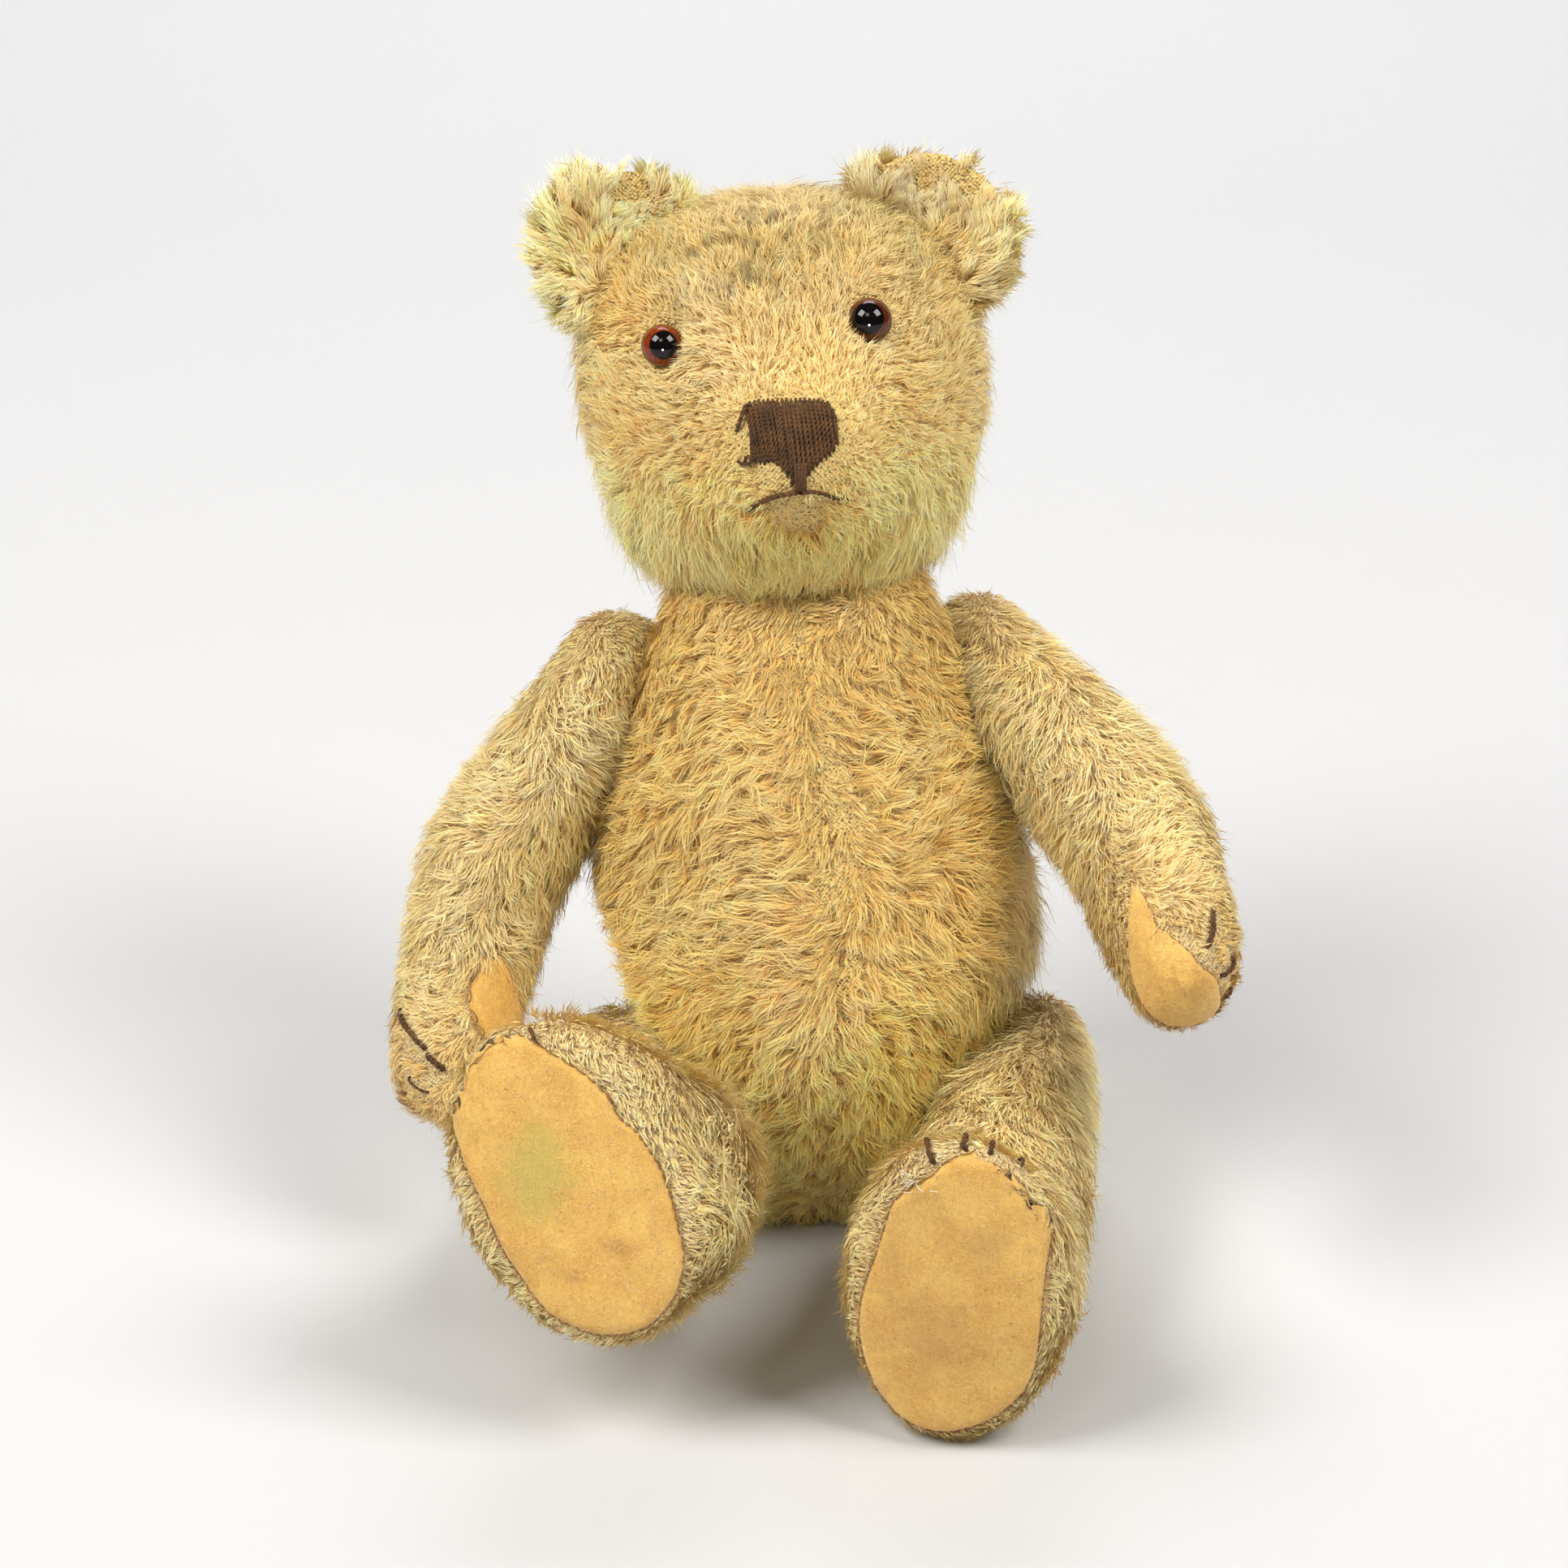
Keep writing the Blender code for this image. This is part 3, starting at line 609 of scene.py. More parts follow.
@dataclass
class MeshStock:
    """Points and faces gathered for one piece."""

    points: list[Array] = field(default_factory=list)
    faces: list[Array] = field(default_factory=list)
    count: int = 0

    def put(self, points: Array, faces: Array) -> None:
        """Adds points, and faces that count from their first."""
        self.points.append(points)
        self.faces.append(faces + self.count)
        self.count += len(points)

    def tube(self, path: Array | Sequence[Array], radius: float, sides: int) -> None:
        """Adds a round strand with closed, tapered ends.

        Args:
            path: positions along its middle.
            radius: its radius.
            sides: how many sides it has.
        """
        path = np.asarray(path, float)
        ahead = unit(np.gradient(path, axis=0))
        side = np.cross(ahead[0], (0.31, 0.17, 0.93))
        frames = []
        for step in ahead:
            side = side - step * (side @ step)
            side = side / max(np.linalg.norm(side), 1e-9)
            frames.append((side, np.cross(step, side)))
        angles = np.arange(sides) * math.tau / sides
        rings = [spot + radius * (np.outer(np.cos(angles), a) + np.outer(np.sin(angles), b))
                 for spot, (a, b) in zip(path, frames)]
        ends = np.array([path[0] - ahead[0] * radius * 0.6, path[-1] + ahead[-1] * radius * 0.6])
        points = np.vstack([*rings, ends])
        quads = [ring_quads(k * sides, (k + 1) * sides, sides) for k in range(len(path) - 1)]
        start = ring_fan(0, len(points) - 2, sides)
        finish = ring_fan((len(path) - 1) * sides, len(points) - 1, sides)[:, [1, 0, 2, 3]]
        self.put(points, np.vstack([*quads, start, finish]))

    def yarn(self, path: Array, radius: float, fine: float, sides: int,
             twist: float = 3.0 * MM) -> None:
        """Adds a thread of two plies.

        Args:
            path: rows of positions along its middle, closely spaced.
            radius: the thread's own radius.
            fine: a ply's radius as a share of the thread's.
            sides: how many sides a ply has.
            twist: the length of one full turn.
        """
        ahead = unit(np.gradient(path, axis=0))
        side = unit(np.cross(ahead, (0.29, 0.11, 0.95)))
        other = np.cross(ahead, side)
        gone = np.concatenate([[0.0], np.cumsum(np.linalg.norm(np.diff(path, axis=0), axis=1))])
        for start in (0.0, math.pi):
            angle = gone / twist * math.tau + start
            self.tube(path + radius * 0.5 * (np.cos(angle)[:, None] * side
                                             + np.sin(angle)[:, None] * other),
                      radius * fine, sides)

    def piece(self, name: str, material: Material) -> Piece:
        """Makes the piece, smooth shaded.

        Args:
            name: its name.
            material: its finish.

        Returns:
            The piece.
        """
        faces = np.vstack(self.faces)
        mesh = bpy.data.meshes.new(name)
        polygons = [tuple(dict.fromkeys(row)) for row in faces.tolist()]
        mesh.from_pydata(np.vstack(self.points).tolist(), [], polygons)
        mesh.shade_smooth()
        mesh.materials.append(material)
        return placed(name, mesh)


def spline(spots: Array | Sequence[Array], count: int) -> Array:
    """Evenly spaced points on a smooth curve through the spots.

    Args:
        spots: positions on the curve.
        count: how many are wanted.

    Returns:
        Rows of positions.
    """
    spots = np.asarray(spots, float)
    padded = np.vstack([2 * spots[0] - spots[1], spots, 2 * spots[-1] - spots[-2]])
    at = np.linspace(0.0, len(spots) - 1.0, count)
    index = np.minimum(at.astype(int), len(spots) - 2)
    t = (at - index)[:, None]
    a, b, c, d = (padded[index + k] for k in range(4))
    return 0.5 * (2 * b + (c - a) * t + (2 * a - 5 * b + 4 * c - d) * t ** 2
                  + (3 * b - a - 3 * c + d) * t ** 3)


class Relief:
    """A surface that stitches, felt and pile are laid on or kept clear of."""

    def __init__(self, points: Array, triangles: Array) -> None:
        """Builds the search tree of a triangle mesh."""
        self.tree = BVHTree.FromPolygons(points.tolist(), triangles.tolist())

    def drop(self, spot: Array, direction: Array, lift: float = 0.0) -> Array | None:
        """Where a line from spot meets the surface, lifted off it, or None.

        Args:
            spot: where the line starts.
            direction: which way the line goes.
            lift: how far off the surface, in metres.

        Returns:
            The place, or None.
        """
        hit, normal, _, _ = self.tree.ray_cast(Vector(spot), Vector(direction))
        if hit is None:
            return None
        return np.array(hit) + np.array(normal) * lift

    def foot(self, spot: Array) -> tuple[Array, Array]:
        """The surface's nearest point to a spot, and its normal there."""
        at, normal, _, _ = self.tree.find_nearest(Vector(spot))
        return np.array(at), np.array(normal)

    def nearest(self, spots: Array, reach: float) -> tuple[Array, Array]:
        """How far each spot is from the surface, and which side it is on.

        Args:
            spots: rows of positions.
            reach: how far to look.

        Returns:
            Distances, reach where there is nothing, and heights over the nearest face.
        """
        away = np.full(len(spots), reach)
        over = np.full(len(spots), reach)
        find = self.tree.find_nearest
        for row, spot in enumerate(spots.tolist()):
            at, normal, _, gap = find(spot, reach)
            if at is not None:
                away[row] = gap
                over[row] = (Vector(spot) - at).dot(normal)
        return away, over

    def covers(self, spots: Array, facing: Array, reach: float) -> Array:
        """Which spots have the surface right above them, within reach.

        Args:
            spots: rows of positions.
            facing: the skin's normal at each.
            reach: how far to look.

        Returns:
            True where it is covered.
        """
        cast = self.tree.ray_cast
        return np.array([cast(spot, way, reach)[0] is not None
                         for spot, way in zip((spots - facing * 0.0003).tolist(),
                                              facing.tolist())], bool)


def is_hardware(node: str) -> bool:
    """Whether a node is a disc, washer, pin or eye wire inside the bear."""
    return any(word in node for word in ("disc", "washer", "_pin", "wire"))


def solid_relief(keep: Callable[[str], bool]) -> Relief | None:
    """The CAD nodes whose names pass a test, without the joint hardware, as one surface.

    Args:
        keep: says for a node's name whether it is wanted.

    Returns:
        The surface, or None without any node.
    """
    points, triangles, count = [], [], 0
    for name, node in frame["nodes"].items():
        if is_hardware(name) or not keep(name):
            continue
        spots, corners = mesh_rows(node.data)
        points.append(spots)
        triangles.append(corners + count)
        count += len(spots)
    return Relief(np.vstack(points), np.vstack(triangles)) if points else None


# Stuffed skins.

@dataclass
class Skin:
    """A stuffed part's cloth: the outside of its CAD solid, filled out, with its seams."""

    node: str
    voxel: float
    swell: float = 0.9 * MM
    lump: float = 0.35 * MM
    seam_depth: float = 0.9 * MM
    seam: Field | None = None
    plump: Field | None = None
    rays: int = 24
    open_rays: int = 5
    pressure: float = 4.0
    frames: int = 16
    points: Array = field(init=False)
    normals: Array = field(init=False)
    triangles: Array = field(init=False)
    laid: list[Relief] = field(default_factory=list)

    def build(self, material: Material) -> None:
        """Makes the skin piece, riding on its body in place of its CAD node.

        Args:
            material: its finish.
        """
        piece = self._remeshed()
        self.read(piece)
        body = body_of_node(self.node)
        others = solid_relief(lambda name: body_of_node(name) != body)
        room, _ = others.nearest(self.points, 9.0 * MM)
        low = self.points[:, 2]
        free = ease(1.2 * MM, 6.0 * MM, room) * ease(0.6 * MM, 5.0 * MM, low)
        self._fill(piece, free)
        self._shape(piece, free)
        piece.data.materials.clear()
        piece.data.materials.append(material)
        piece.data.shade_smooth()
        self.read(piece)
        settle(piece, body, [self.node])

    def _outside(self) -> bmesh.types.BMesh:
        """The CAD solid without the pockets for its joints, closed again."""
        shell = bmesh.new()
        shell.from_mesh(frame["nodes"][self.node].data)
        bmesh.ops.remove_doubles(shell, verts=shell.verts, dist=1e-6)
        tree = BVHTree.FromBMesh(shell)
        golden = math.pi * (3.0 - math.sqrt(5.0))
        hidden = []
        for face in shell.faces:
            start = face.calc_center_median() + face.normal * 2e-5
            side = face.normal.orthogonal().normalized()
            other = face.normal.cross(side)
            seen = 0
            for ray in range(self.rays):
                rise = 0.12 + 0.88 * (ray + 0.5) / self.rays
                flat = math.sqrt(1.0 - rise * rise)
                way = (face.normal * rise + side * flat * math.cos(golden * ray)
                       + other * flat * math.sin(golden * ray))
                seen += tree.ray_cast(start, way)[0] is None
            if seen < self.open_rays:
                hidden.append(face)
        bmesh.ops.delete(shell, geom=hidden, context="FACES")
        loose = [v for v in shell.verts if not v.link_faces]
        bmesh.ops.delete(shell, geom=loose, context="VERTS")
        rim = [edge for edge in shell.edges if edge.is_boundary]
        bmesh.ops.holes_fill(shell, edges=rim, sides=0)
        bmesh.ops.triangulate(shell, faces=shell.faces)
        return shell

    def _remeshed(self) -> Piece:
        """The outside as an even, closed mesh."""
        shell = self._outside()
        mesh = bpy.data.meshes.new(self.node + "_skin")
        shell.to_mesh(mesh)
        shell.free()
        piece = placed(self.node + "_skin", mesh)
        even = piece.modifiers.new("even", "REMESH")
        even.mode = "VOXEL"
        even.voxel_size = self.voxel
        even.use_smooth_shade = True
        soft = piece.modifiers.new("soft", "SMOOTH")
        soft.factor = 0.5
        soft.iterations = 3
        self._apply(piece)
        return piece

    def _apply(self, piece: Piece) -> None:
        """Applies a piece's modifiers to its mesh.

        Args:
            piece: the piece.
        """
        scene_now = bpy.context.evaluated_depsgraph_get()
        made = bpy.data.meshes.new_from_object(piece.evaluated_get(scene_now))
        made.name = piece.name
        piece.modifiers.clear()
        piece.data = made

    def read(self, piece: Piece) -> None:
        """Keeps the piece's points, normals and triangles for what is laid on it.

        Args:
            piece: the piece.
        """
        self.points, self.triangles = mesh_rows(piece.data)
        facing = np.empty(len(self.points) * 3)
        piece.data.vertex_normals.foreach_get("vector", facing)
        self.normals = facing.reshape(-1, 3)

    def _fill(self, piece: Piece, free: Array) -> None:
        """Fills the cloth out under pressure, no further than the part's space allows.

        Args:
            piece: the piece.
            free: how free each point is, from 0 to 1.
        """
        start = self.points.copy()
        held = piece.vertex_groups.new(name="held")
        for row in np.flatnonzero(free < 0.05).tolist():
            held.add([row], 1.0, "REPLACE")
        cloth = piece.modifiers.new("cloth", "CLOTH")
        cloth.settings.use_pressure = True
        cloth.settings.uniform_pressure_force = self.pressure
        cloth.settings.effector_weights.gravity = 0.0
        cloth.settings.vertex_group_mass = "held"
        cloth.point_cache.frame_start = 1
        cloth.point_cache.frame_end = self.frames
        for step in range(1, self.frames + 1):
            bpy.context.scene.frame_set(step)
        self._apply(piece)
        bpy.context.scene.frame_set(1)
        self.read(piece)
        move = self.points - start
        size = np.linalg.norm(move, axis=1, keepdims=True)
        cap = self.swell * free[:, None]
        settled = start + move * np.minimum(1.0, cap / np.maximum(size, 1e-9))
        piece.data.vertices.foreach_set("co", settled.ravel())
        piece.data.update()
        piece.vertex_groups.clear()
        self.read(piece)

    def _shape(self, piece: Piece, free: Array) -> None:
        """Gives the cloth its lumps of wood wool and draws its seams in.

        Args:
            piece: the piece.
            free: how free each point is, from 0 to 1.
        """
        lumps = cloudy(self.points, 17.0 * MM, 3) + 0.5 * cloudy(self.points, 8.0 * MM, 4)
        move = self.lump * lumps
        if self.plump is not None:
            move = move + self.plump(self.points)
        if self.seam is not None:
            off = np.abs(self.seam(self.points))
            move -= self.seam_depth * np.exp(-(off / (1.6 * MM)) ** 2)
        shaped = self.points + self.normals * (move * free)[:, None]
        shaped[:, 2] = np.maximum(shaped[:, 2], 0.0002)
        piece.data.vertices.foreach_set("co", shaped.ravel())
        piece.data.update()


# Pile.

@dataclass(frozen=True)
class PileCut:
    """How a stretch of mohair is cut and laid: sizes in metres, shares from 0 to 1."""

    strands: int
    length: float = 8.5 * MM
    width: float = 0.30 * MM
    rise: float = 0.46
    lock: float = 3.2 * MM
    gather: float = 0.6
    sway: float = 0.5
    stray: float = 0.05
    # Darker roots and paler tips: partly the mohair's own colour, partly painted shade deep in the
    # pile and painted light on the tips.
    root: Colour = linear(226, 168, 82)
    middle: Colour = linear(246, 212, 134)
    tip: Colour = linear(254, 238, 184)


class Furred:
    """A part with pile on it, which says how the pile lies at rows of positions."""

    def comb(self, points: Array) -> Array:
        """Which way the pile lies.

        Args:
            points: rows of positions.

        Returns:
            One direction for each point.
        """
        raise NotImplementedError

    def cover(self, points: Array) -> Array:
        """How much pile is left.

        Args:
            points: rows of positions.

        Returns:
            A share for each point.
        """
        return np.ones(len(points))

    def reach(self, points: Array) -> Array:
        """How long the pile is, beside its full length.

        Args:
            points: rows of positions.

        Returns:
            A share for each point.
        """
        return np.ones(len(points))

    def tone(self, points: Array) -> Array:
        """The colour the pile's own is multiplied by: dirt, fading, and painted light and shade.

        Args:
            points: rows of positions.

        Returns:
            One colour for each point.
        """
        return np.ones((len(points), 3))


@dataclass
class Roots:
    """Where strands stand: places, the skin's normals, how much room they have, from 0 to 1."""

    at: Array
    facing: Array
    free: Array

    def picked(self, rows: Array) -> "Roots":
        """Only the roots of those rows."""
        return Roots(self.at[rows], self.facing[rows], self.free[rows])


@dataclass
class Pile:
    """Cut pile grown on a skin, as one piece of flat tapered strands.

    It keeps clear of the ground, of what is sewn on the skin, and of the bear's other bodies.
    """

    name: str
    skin: Skin
    cut: PileCut
    part: Furred
    seed: int
    spare: float = 1.12
    off_ground: float = 0.9 * MM
    off_trim: float = 0.95 * MM
    off_bodies: float = 0.9 * MM
    pad_cover: float = 3.4 * MM

    def __post_init__(self) -> None:
        """Starts the pile's own random draws."""
        self.random = np.random.default_rng(self.seed)

    def grow(self, material: Material) -> None:
        """Makes the pile piece, riding with its skin.

        Args:
            material: its finish.
        """
        body = body_of_node(self.skin.node)
        others = solid_relief(lambda name: body_of_node(name) != body)
        roots = self._cleared(self._scattered(), body, others)
        roots = roots.picked(np.argsort(self._curve(roots.at), kind="stable"))
        corners, shading, tints = self._strands(roots, others)
        settle(self._mesh(corners, shading, tints, material), body)

    def _scattered(self) -> Roots:
        """Roots scattered by area, and thinned where the pile is worn away."""
        skin = self.skin
        spots = skin.points[skin.triangles]
        area = triangle_areas(skin.points, skin.triangles)
        weight = area * np.clip(self.part.cover(spots.mean(1)), 0.0, None)
        chosen = self.random.choice(len(area), int(self.cut.strands * self.spare),
                                    p=weight / weight.sum())
        share = self.random.random((len(chosen), 2))
        flip = share.sum(1) > 1.0
        share[flip] = 1.0 - share[flip]
        parts = np.column_stack([1.0 - share.sum(1), share])[:, :, None]
        return Roots((spots[chosen] * parts).sum(1),
                     unit((skin.normals[skin.triangles[chosen]] * parts).sum(1)),
                     np.ones(len(chosen)))

    def _cleared(self, roots: Roots, body: str, others: Relief) -> Roots:
        """Drops roots that another piece lies on, and finds how free the rest are.

        Args:
            roots: where strands may stand.
            body: the body that they ride on.
            others: the solids of the other bodies.

        Returns:
            The roots that are left.
        """
        dressed = solid_relief(lambda name: body_of_node(name) == body
                               and name != self.skin.node and "pad" not in name)
        keep = roots.at[:, 2] > self.off_ground
        if dressed is not None:
            keep &= dressed.nearest(roots.at, 3.0 * MM)[0] > self.off_trim
        for relief in self.skin.laid:
            keep &= ~relief.covers(roots.at, roots.facing, self.pad_cover)
        roots = roots.picked(keep)
        room, _ = others.nearest(roots.at, 8.0 * MM)
        roots.free = np.clip(room / (5.0 * MM), 0.25, 1.0)
        roots = roots.picked(room > self.off_bodies)
        if len(roots.at) > self.cut.strands:
            roots = roots.picked(self.random.permutation(len(roots.at))[:self.cut.strands])
        return roots

    def _curve(self, roots: Array) -> Array:
        """A number for each root that is alike for neighbours.

        Args:
            roots: where the strands stand.

        Returns:
            One number for each root.
        """
        low = roots.min(0)
        cell = ((roots - low) / (np.ptp(roots, axis=0).max() + 1e-9) * 255).astype(np.int64)
        code = np.zeros(len(roots), np.int64)
        for bit in range(8):
            for axis in range(3):
                code |= ((cell[:, axis] >> bit) & 1) << (3 * bit + axis)
        return code

    def _strands(self, standing: Roots, others: Relief) -> tuple[Array, Array, Array]:
        """The four corners of each strand, their shading normals and their colours.

        Args:
            standing: where the strands stand.
            others: the solids of the other bodies.

        Returns:
            Corners, normals and tints, all shaped strands by 4 by 3.
        """
        roots, facing, free = standing.at, standing.facing, standing.free
        cut, random, count = self.cut, self.random, len(roots)

        # Each strand belongs to the lock whose middle is nearest.
        area = float(triangle_areas(self.skin.points, self.skin.triangles).sum())
        locks = max(8, int(area / cut.lock ** 2))
        centres = random.choice(count, min(locks, count), replace=False)
        tree = KDTree(len(centres))
        for row, spot in enumerate(roots[centres].tolist()):
            tree.insert(spot, row)
        tree.balance()
        lock = np.array([tree.find(spot)[1] for spot in roots.tolist()])

        # The way that it lies, how long it is and how steeply it rises.
        sweep = cloudy(roots, 13.0 * MM, self.seed) * 0.5 + cloudy(roots, 6.0 * MM, 5) * 0.28
        lean = (random.normal(0.0, 0.24, len(centres)) * cut.sway * 2.0)[lock]
        way = self._turned(self.part.comb(roots), facing,
                           sweep * cut.sway * 2.0 + lean + random.normal(0.0, 0.13, count))
        reach = np.clip(self.part.reach(roots), 0.12, 2.0)
        size = (cut.length * reach * (0.82 + 0.36 * random.random(len(centres)))[lock]
                * (0.72 + 0.42 * random.random(count)))
        rise = cut.rise * np.clip(random.normal(1.0, 0.16, len(centres))[lock], 0.5, 1.5)
        rise = rise * (0.85 + 0.3 * random.random(count))
        stray = random.random(count) < cut.stray
        rise = np.where(stray, rise * 1.3, rise)
        size = np.where(stray, size * 1.02, size)
        rise = rise * np.where(free < 1.0, 0.35 + 0.65 * free, 1.0)

        # Its middle and its tip, bowed a little and standing in layers.
        side = np.cross(facing, way)
        bow = (random.normal(0.0, 0.09, len(centres))[lock] + random.normal(0, 0.03, count))
        layer = np.where(stray, 0.0, random.random(count) * 0.62)
        start = np.where(stray, -0.25 * MM, layer * rise * size - 0.25 * MM)
        climb = np.where(stray, 1.0, 0.40)
        middle = (way * (0.46 * size)[:, None] + side * (bow * size)[:, None]
                  + facing * ((layer + 0.62 * climb) * rise * size)[:, None])
        tip = way * (0.90 * size)[:, None] + facing * ((layer + climb) * rise * size)[:, None]
        tips = roots + tip

        # Tips are drawn together in their lock, and kept out of the bear's other bodies.
        pull = np.where(stray, 0.0, cut.gather * (0.7 + 0.5 * random.random(count)))
        lock_tip = self._means(tips, lock, len(centres))
        spread = unit(random.normal(size=(count, 3))) * (0.18 * cut.lock)
        tips = tips + (lock_tip[lock] + spread - tips) * np.clip(pull, 0, 0.95)[:, None]
        lock_mid = self._means(roots + middle, lock, len(centres))
        mids = roots + middle
        mids = mids + (lock_mid[lock] - mids) * (0.38 * pull)[:, None]
        tight = np.flatnonzero(free < 1.0)
        for _ in range(2):
            _, over = others.nearest(tips[tight], 4.0 * MM)
            tight = tight[over < 0.3 * MM]
            for ends in (tips, mids):
                ends[tight] = roots[tight] + (ends[tight] - roots[tight]) * 0.45

        # A flat kite, rolled a little about its own length and shaded softly.
        sunk = roots + facing * start[:, None]
        axis = unit(tips - sunk)
        broad = unit(np.cross(axis, facing))
        roll = random.normal(0.0, 0.32, count)[:, None]
        broad = broad * np.cos(roll) + np.cross(axis, broad) * np.sin(roll)
        wide = cut.width * (0.65 + 0.7 * random.random(count))
        wide = np.where(stray, wide * 0.4, wide)[:, None] * broad * 0.5
        corners = np.stack([sunk, mids - wide, mids + wide, tips], 1)
        corners[:, :, 2] = np.maximum(corners[:, :, 2], 0.00035)
        own = unit(np.cross(broad, axis))
        own = own * np.where(dot(own, facing) < 0.0, -1.0, 1.0)[:, None]
        soft = facing * 0.68 + own * 0.32
        shading = unit(np.stack([soft, soft - broad * 0.30, soft + broad * 0.30,
                                 soft + way * 0.22], 1))
        return corners, shading, self._tints(roots, lock, len(centres), stray)

    def _tints(self, roots: Array, lock: Array, locks: int, stray: Array) -> Array:
        """Root, middle and tip colours with lock and part tones, partly painted shade and light.

        Args:
            roots: where the strands stand.
            lock: the number of each strand's lock.
            locks: how many locks there are.
            stray: which strands have come loose.

        Returns:
            Four colours for each strand.
        """
        cut, random, count = self.cut, self.random, len(roots)
        tone = self.part.tone(roots)
        shade = (1.0 + random.normal(0.0, 0.075, locks)[lock]
                 + random.normal(0.0, 0.085, count)
                 + 0.05 * cloudy(roots, 21.0 * MM, 11) + 0.04 * cloudy(roots, 5.0 * MM, 12))
        warm = random.normal(0.0, 0.03, locks)[lock] + 0.03 * cloudy(roots, 16.0 * MM, 13)
        # The darker root colour is partly painted shade deep in the pile, and the paler tip partly
        # painted light.
        colours = np.stack([np.broadcast_to(np.array(c), (count, 3))
                            for c in (cut.root, cut.middle, cut.middle, cut.tip)], 1)
        heat = np.stack([1.0 + warm, np.ones(count), 1.0 - 1.6 * warm], 1)[:, None, :]
        tints = colours * tone[:, None, :] * shade[:, None, None] * heat
        # Painted light: the loose strays are made lighter than the rest of the pile.
        tints = np.where(stray[:, None, None], tints * 1.08, tints)
        return np.clip(tints, 0.004, 0.95)

    @staticmethod
    def _means(rows: Array, group: Array, groups: int) -> Array:
        """The mean of the rows of each group."""
        size = np.maximum(np.bincount(group, minlength=groups), 1)[:, None]
        return np.stack([np.bincount(group, rows[:, k], groups) for k in range(3)], 1) / size

    @staticmethod
    def _turned(way: Array, facing: Array, angle: Array) -> Array:
        """Directions laid flat on the skin and turned about its normal."""
        flat = unit(way - facing * dot(way, facing)[:, None])
        side = np.cross(facing, flat)
        return flat * np.cos(angle)[:, None] + side * np.sin(angle)[:, None]

    def _mesh(self, corners: Array, shading: Array, tints: Array,
              material: Material) -> Piece:
        """The strands as one mesh, with a place for each in the OFBake UV map.

        Args:
            corners: the four corners of each strand.
            shading: the normals there.
            tints: the colours there.
            material: the pile's material.

        Returns:
            The piece.
        """
        count = len(corners)
        mesh = bpy.data.meshes.new(self.name)
        mesh.vertices.add(count * 4)
        mesh.vertices.foreach_set("co", corners.reshape(-1).astype(np.float32))
        first = np.arange(count)[:, None] * 4
        loops = (first + np.array([[0, 2, 1, 1, 2, 3]])).ravel()
        mesh.loops.add(len(loops))
        mesh.loops.foreach_set("vertex_index", loops.astype(np.int32))
        mesh.polygons.add(count * 2)
        mesh.polygons.foreach_set("loop_start", np.arange(0, len(loops), 3, dtype=np.int32))
        mesh.update(calc_edges=True)
        colour = mesh.color_attributes.new("tint", "FLOAT_COLOR", "POINT")
        rgba = np.concatenate([tints.reshape(-1, 3), np.ones((count * 4, 1))], 1)
        colour.data.foreach_set("color", rgba.ravel().astype(np.float32))
        columns = max(1, int(math.sqrt(count * 2.0)))
        rows = -(-count // columns)
        where = np.arange(count)
        left = (where % columns) / columns
        low = (where // columns) / rows
        across = np.array([0.5, 0.06, 0.94, 0.5]) / columns
        up = np.array([0.05, 0.5, 0.5, 0.95]) / rows
        spots = np.stack([left[:, None] + across, low[:, None] + up], 2).reshape(-1, 2)
        layer = mesh.uv_layers.new(name="OFBake")
        layer.uv.foreach_set("vector", spots[loops].ravel().astype(np.float32))
        mesh.normals_split_custom_set_from_vertices(shading.reshape(-1, 3).tolist())
        mesh.materials.append(material)
        return placed(self.name, mesh)


# The bear's own directions.

@dataclass(frozen=True)
class Stance:
    """Three square axes and an origin: across to the bear's left, out to its front, and up."""

    origin: Array
    across: Array
    front: Array
    up: Array

    @classmethod
    def upright(cls, origin: Array, up: Array, turn: float = 0.0) -> "Stance":
        """The axes of a part that faces forward, turned by some degrees to its left.

        Args:
            origin: where it is measured from.
            up: its own upward direction.
            turn: how far it is turned.

        Returns:
            The stance.
        """
        angle = math.radians(turn)
        ahead = np.array([math.sin(angle), -math.cos(angle), 0.0])
        up = unit(up)
        front = unit(ahead - up * (ahead @ up))
        return cls(origin, np.cross(up, front), front, up)

    def measure(self, points: Array) -> tuple[Array, Array, Array]:
        """How far each point is across, to the front and up, in millimetres."""
        off = (points - self.origin) / MM
        return off @ self.across, off @ self.front, off @ self.up

    def way(self, across: Array | float, front: Array | float, up: Array | float) -> Array:
        """Unit directions from their parts along the three axes."""
        rows = [np.asarray(x, float)[..., None] * axis
                for x, axis in ((across, self.across), (front, self.front), (up, self.up))]
        return unit(rows[0] + rows[1] + rows[2])


@dataclass(frozen=True)
class Spot:
    """A place on the bear in millimetres, and how far it reaches."""

    place: Triple
    reach: float
    strength: float = 1.0


def spotted(points: Array, spots: Sequence[Spot], ragged: float = 0.35) -> Array:
    """How strongly any of the spots is felt at each point, with ragged edges.

    Args:
        points: rows of positions.
        spots: the spots.
        ragged: how ragged their edges are.

    Returns:
        A strength from 0 to 1 for each point.
    """
    felt = np.zeros(len(points))
    noise = 1.0 + ragged * cloudy(points, 3.0 * MM, 31)
    for spot in spots:
        away = np.linalg.norm(points - np.array(spot.place) * MM, axis=1) / MM
        felt = np.maximum(felt, spot.strength * (1.0 - ease(0.55, 1.0, away * noise / spot.reach)))
    return felt


def widened(spots: Sequence[Spot], times: float) -> list[Spot]:
    """The same spots at full strength, with some times their reach."""
    return [Spot(spot.place, spot.reach * times) for spot in spots]


class Side(Enum):
    """The bear's own two sides."""

    LEFT = "left"
    RIGHT = "right"

    @property
    def sign(self) -> float:
        """1 towards +X, where the bear's left is, and -1 towards its right."""
        return 1.0 if self is Side.LEFT else -1.0


